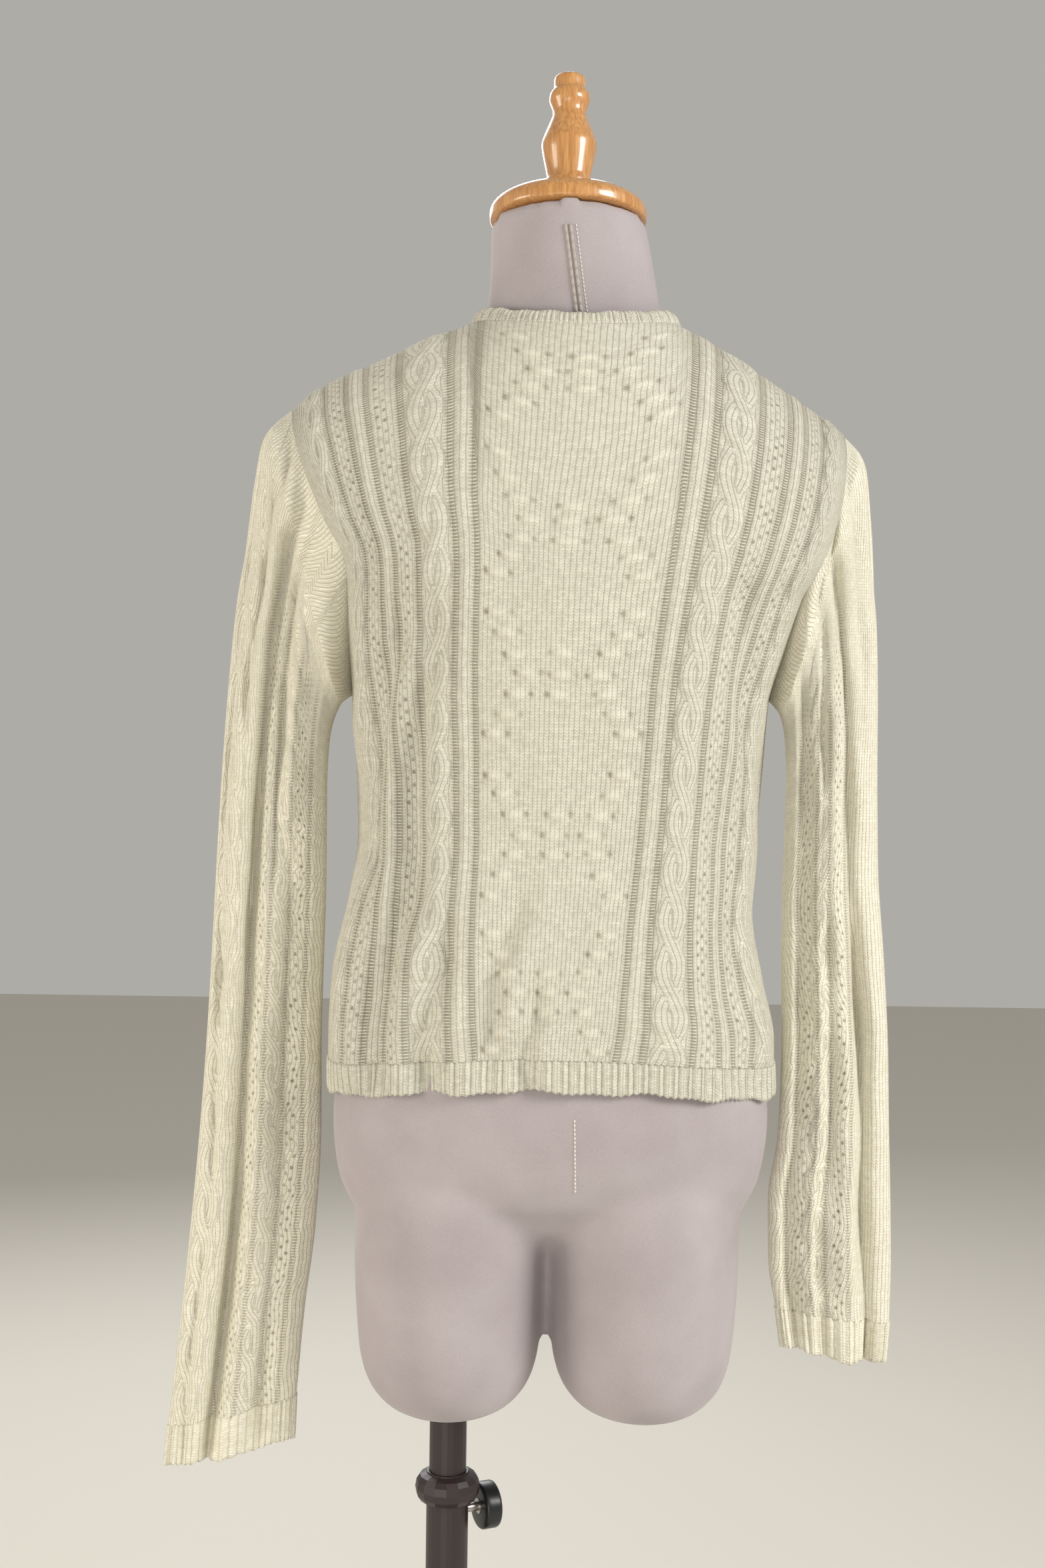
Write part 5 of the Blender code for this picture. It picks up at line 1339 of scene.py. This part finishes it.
def cloth(piece, node):
    """A knitted piece: it rides on the form and stands for its solid, which is hidden."""
    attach(piece, "form")
    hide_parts(node)


form = dress_form()
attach(form, "form")
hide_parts("form_body")

at_left, at_right = (float(band_way(hand, np.array([HEM_LEVEL]), BAND_HALF)[0]) for hand in (1, -1))
cloth(back_panel(), "back")
cloth(front_panel("cardigan_front_left", 1), "front_left")
cloth(front_panel("cardigan_front_right", -1), "front_right")
cloth(hem("welt_back", 1, -1, 1), "hem_back")
cloth(hem("welt_front_left", -1, at_left, 1), "hem_front_left")
cloth(hem("welt_front_right", -1, -1, at_right), "hem_front_right")
cloth(sleeve("sleeve_left_knit", 1, SLEEVE_LEFT), "sleeve_left")
cloth(sleeve("sleeve_right_knit", -1, SLEEVE_RIGHT), "sleeve_right")
cloth(cuff("cuff_left_knit", 1, CUFF_LEFT), "cuff_left")
cloth(cuff("cuff_right_knit", -1, CUFF_RIGHT), "cuff_right")
cloth(neckband(), "neckband")
cloth(button_band("band_left_knit", 0.0), "button_band_left")
cloth(button_band("band_right_knit", RIGHT_BAND_LIFT), "button_band_right")
for number, level in enumerate(BUTTON_LEVELS, 1):
    disc, thread = button(number, level)
    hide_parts(f"button_{number}")
    for piece in (disc, thread):
        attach(piece, "form")

neck_end = dict(zip(NECK_COLUMNS, NECK[-1]))
on_neck = Matrix.Translation((neck_end["middle_x"], neck_end["middle_y"], neck_end["height"]))
on_neck = on_neck @ Matrix.Rotation(NECK_TILT, 4, "X")
cap_profile = [(CAP_RADIUS - 0.0015, 0.0), (CAP_RADIUS - 0.0002, 0.0012)]
for angle in np.linspace(0, 1.5, 8):
    cap_profile.append((CAP_RADIUS * math.cos(angle), CAP_RIM + (CAP_DOME - CAP_RIM) * math.sin(angle)))
cap = turned_piece("neck_cap_beech", cap_profile, BEECH, 96, on_neck @ Matrix.Translation((0, 0, FIT)))
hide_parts("neck_cap")
on_cap = on_neck @ Matrix.Translation((0, 0, CAP_DOME + 2 * FIT))
finial = turned_piece("finial_beech", FINIAL, BEECH, 64, on_cap)
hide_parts("finial")
for piece in (cap, finial):
    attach(piece, "form")

for node in ("outer_tube", "clamp_ring", "mast"):
    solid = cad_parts[node]
    solid.data.materials.clear()
    solid.data.materials.append(POWDER)

foot = turned_piece("round_foot", BASE, POWDER, 128, Matrix.Translation((POLE_X, 0, 0)))
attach(foot, "stand")
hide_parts("base")

lie = Matrix.Translation((POLE_X, 0, KNOB_HEIGHT)) @ Matrix.Rotation(KNOB_TURN + math.pi, 4, "Z")
lie = lie @ Matrix.Rotation(math.pi / 2, 4, "Y")
grip = turned_piece("knob_grip", KNOB, BLACK, 72, lie)
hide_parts("knob")
screw = turned_piece("knob_screw", SCREW, ZINC, 32, lie)
for piece in (grip, screw):
    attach(piece, "knob")

# ---------------------------------------------------------------------------------------------------
# Zip tape and stitched seams of the form's cover
# ---------------------------------------------------------------------------------------------------

ZIP_TOP, ZIP_FOOT = (-0.0035, 1.436), (-0.0116, 1.380)
SEAM_TOP, SEAM_FOOT = (-0.0150, 0.868), (-0.0165, 0.818)
SEWN_COLUMNS = ("name", "start", "end", "aside", "radius", "finish", "pieces", "share")
SEWN = (
    ("zip_cord_right", ZIP_TOP, ZIP_FOOT, -0.0016, 0.0010, TAPE, 10, 1.0),
    ("zip_cord_left", ZIP_TOP, ZIP_FOOT, 0.0016, 0.0010, TAPE, 10, 1.0),
    ("zip_stitching", ZIP_TOP, ZIP_FOOT, -0.0052, 0.0004, THREAD, 22, 0.6),
    ("seam_stitching", SEAM_TOP, SEAM_FOOT, 0.0, 0.0005, THREAD, 18, 0.6),
)


def on_form(x, z, lift):
    """The point of the form's back at x and z, lifted off it."""
    _, point, normal, _ = form.ray_cast(Vector((x, 0.3, z)), Vector((0, -1, 0)))
    return point + normal * lift


def sewn_line(name, start, end, aside, radius, finish, pieces, share):
    """A round line on the form's back from start to end (x, z), or stitches that take a share of it."""
    parts = []
    for i in range(pieces):
        ends = []
        for t in (i / pieces, (i + share) / pieces):
            x, z = start[0] + aside + (end[0] - start[0]) * t, start[1] + (end[1] - start[1]) * t
            ends.append(on_form(x, z, radius * 0.4))
        along = ends[1] - ends[0]
        bpy.ops.mesh.primitive_cylinder_add(vertices=10, radius=radius, depth=along.length * 1.04)
        parts.append(bpy.context.object)
        turn = along.to_track_quat("Z", "Y").to_matrix().to_4x4()
        parts[-1].data.transform(Matrix.Translation((ends[0] + ends[1]) / 2) @ turn)
    return joined(parts, name, finish)


for row in SEWN:
    line = sewn_line(**dict(zip(SEWN_COLUMNS, row)))
    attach(line, "form")

# ---------------------------------------------------------------------------------------------------
# Floor, light and camera
# ---------------------------------------------------------------------------------------------------

FLOOR_HALF = 6.0
CAMERA_AT = (0.0207, 1.41, 1.144)
CAMERA_DOWN, CAMERA_ROLL = math.radians(2.85), math.radians(0.8)


def studio():
    """A plain pale floor that fills the view."""
    bpy.ops.object.select_all(action="DESELECT")
    bpy.ops.mesh.primitive_plane_add(size=2 * FLOOR_HALF, location=(0, 0, 0))
    floor = bpy.context.object
    floor.name = "studio_floor"
    paper = new_material("matt studio paper, pale", Roughness=0.95, Base_Color=linear("#d6d2ca"))[0]
    floor.data.materials.append(paper)


def softbox(name, place, aim, size, power, colour="#ffffff"):
    """A rectangular light at place that shines at aim."""
    light = bpy.data.lights.new(name, "AREA")
    light.shape = "RECTANGLE"
    light.size, light.size_y = size
    light.energy = power
    light.color = linear(colour)[:3]
    holder = bpy.data.objects.new(name, light)
    holder.location = place
    holder.rotation_euler = (Vector(aim) - Vector(place)).to_track_quat("-Z", "Y").to_euler()
    bpy.context.scene.collection.objects.link(holder)


studio()
world = bpy.data.worlds.new("soft studio")
bpy.context.scene.world = world
world.use_nodes = True
world.node_tree.nodes["Background"].inputs[0].default_value = linear("#e9e6df")
world.node_tree.nodes["Background"].inputs[1].default_value = 0.52
softbox("window", (-2.1, 1.35, 2.1), (0, 0, 1.05), (1.0, 1.0), 62, "#fffdf8")
softbox("fill", (2.4, 0.9, 1.3), (0, 0, 0.95), (1.0, 1.2), 30, "#fff6e8")
softbox("low fill", (0.5, 2.3, 0.6), (0, 0, 0.85), (1.6, 1.0), 17, "#fffaf0")
softbox("front", (0.6, -2.4, 2.2), (0, 0, 1.1), (1.6, 1.6), 40)

camera = bpy.data.cameras.new("photo view")
camera.sensor_fit = "VERTICAL"
camera.sensor_height = 36.0
camera.lens = 48.0
holder = bpy.data.objects.new("photo view", camera)
bpy.context.scene.collection.objects.link(holder)
holder.matrix_world = (
    Matrix.Translation(CAMERA_AT)
    @ Matrix.Rotation(math.pi, 4, "Z")
    @ Matrix.Rotation(math.pi / 2 - CAMERA_DOWN, 4, "X")
    @ Matrix.Rotation(CAMERA_ROLL, 4, "Z")
)
bpy.context.scene.camera = holder
bpy.context.scene.view_settings.view_transform = "Standard"
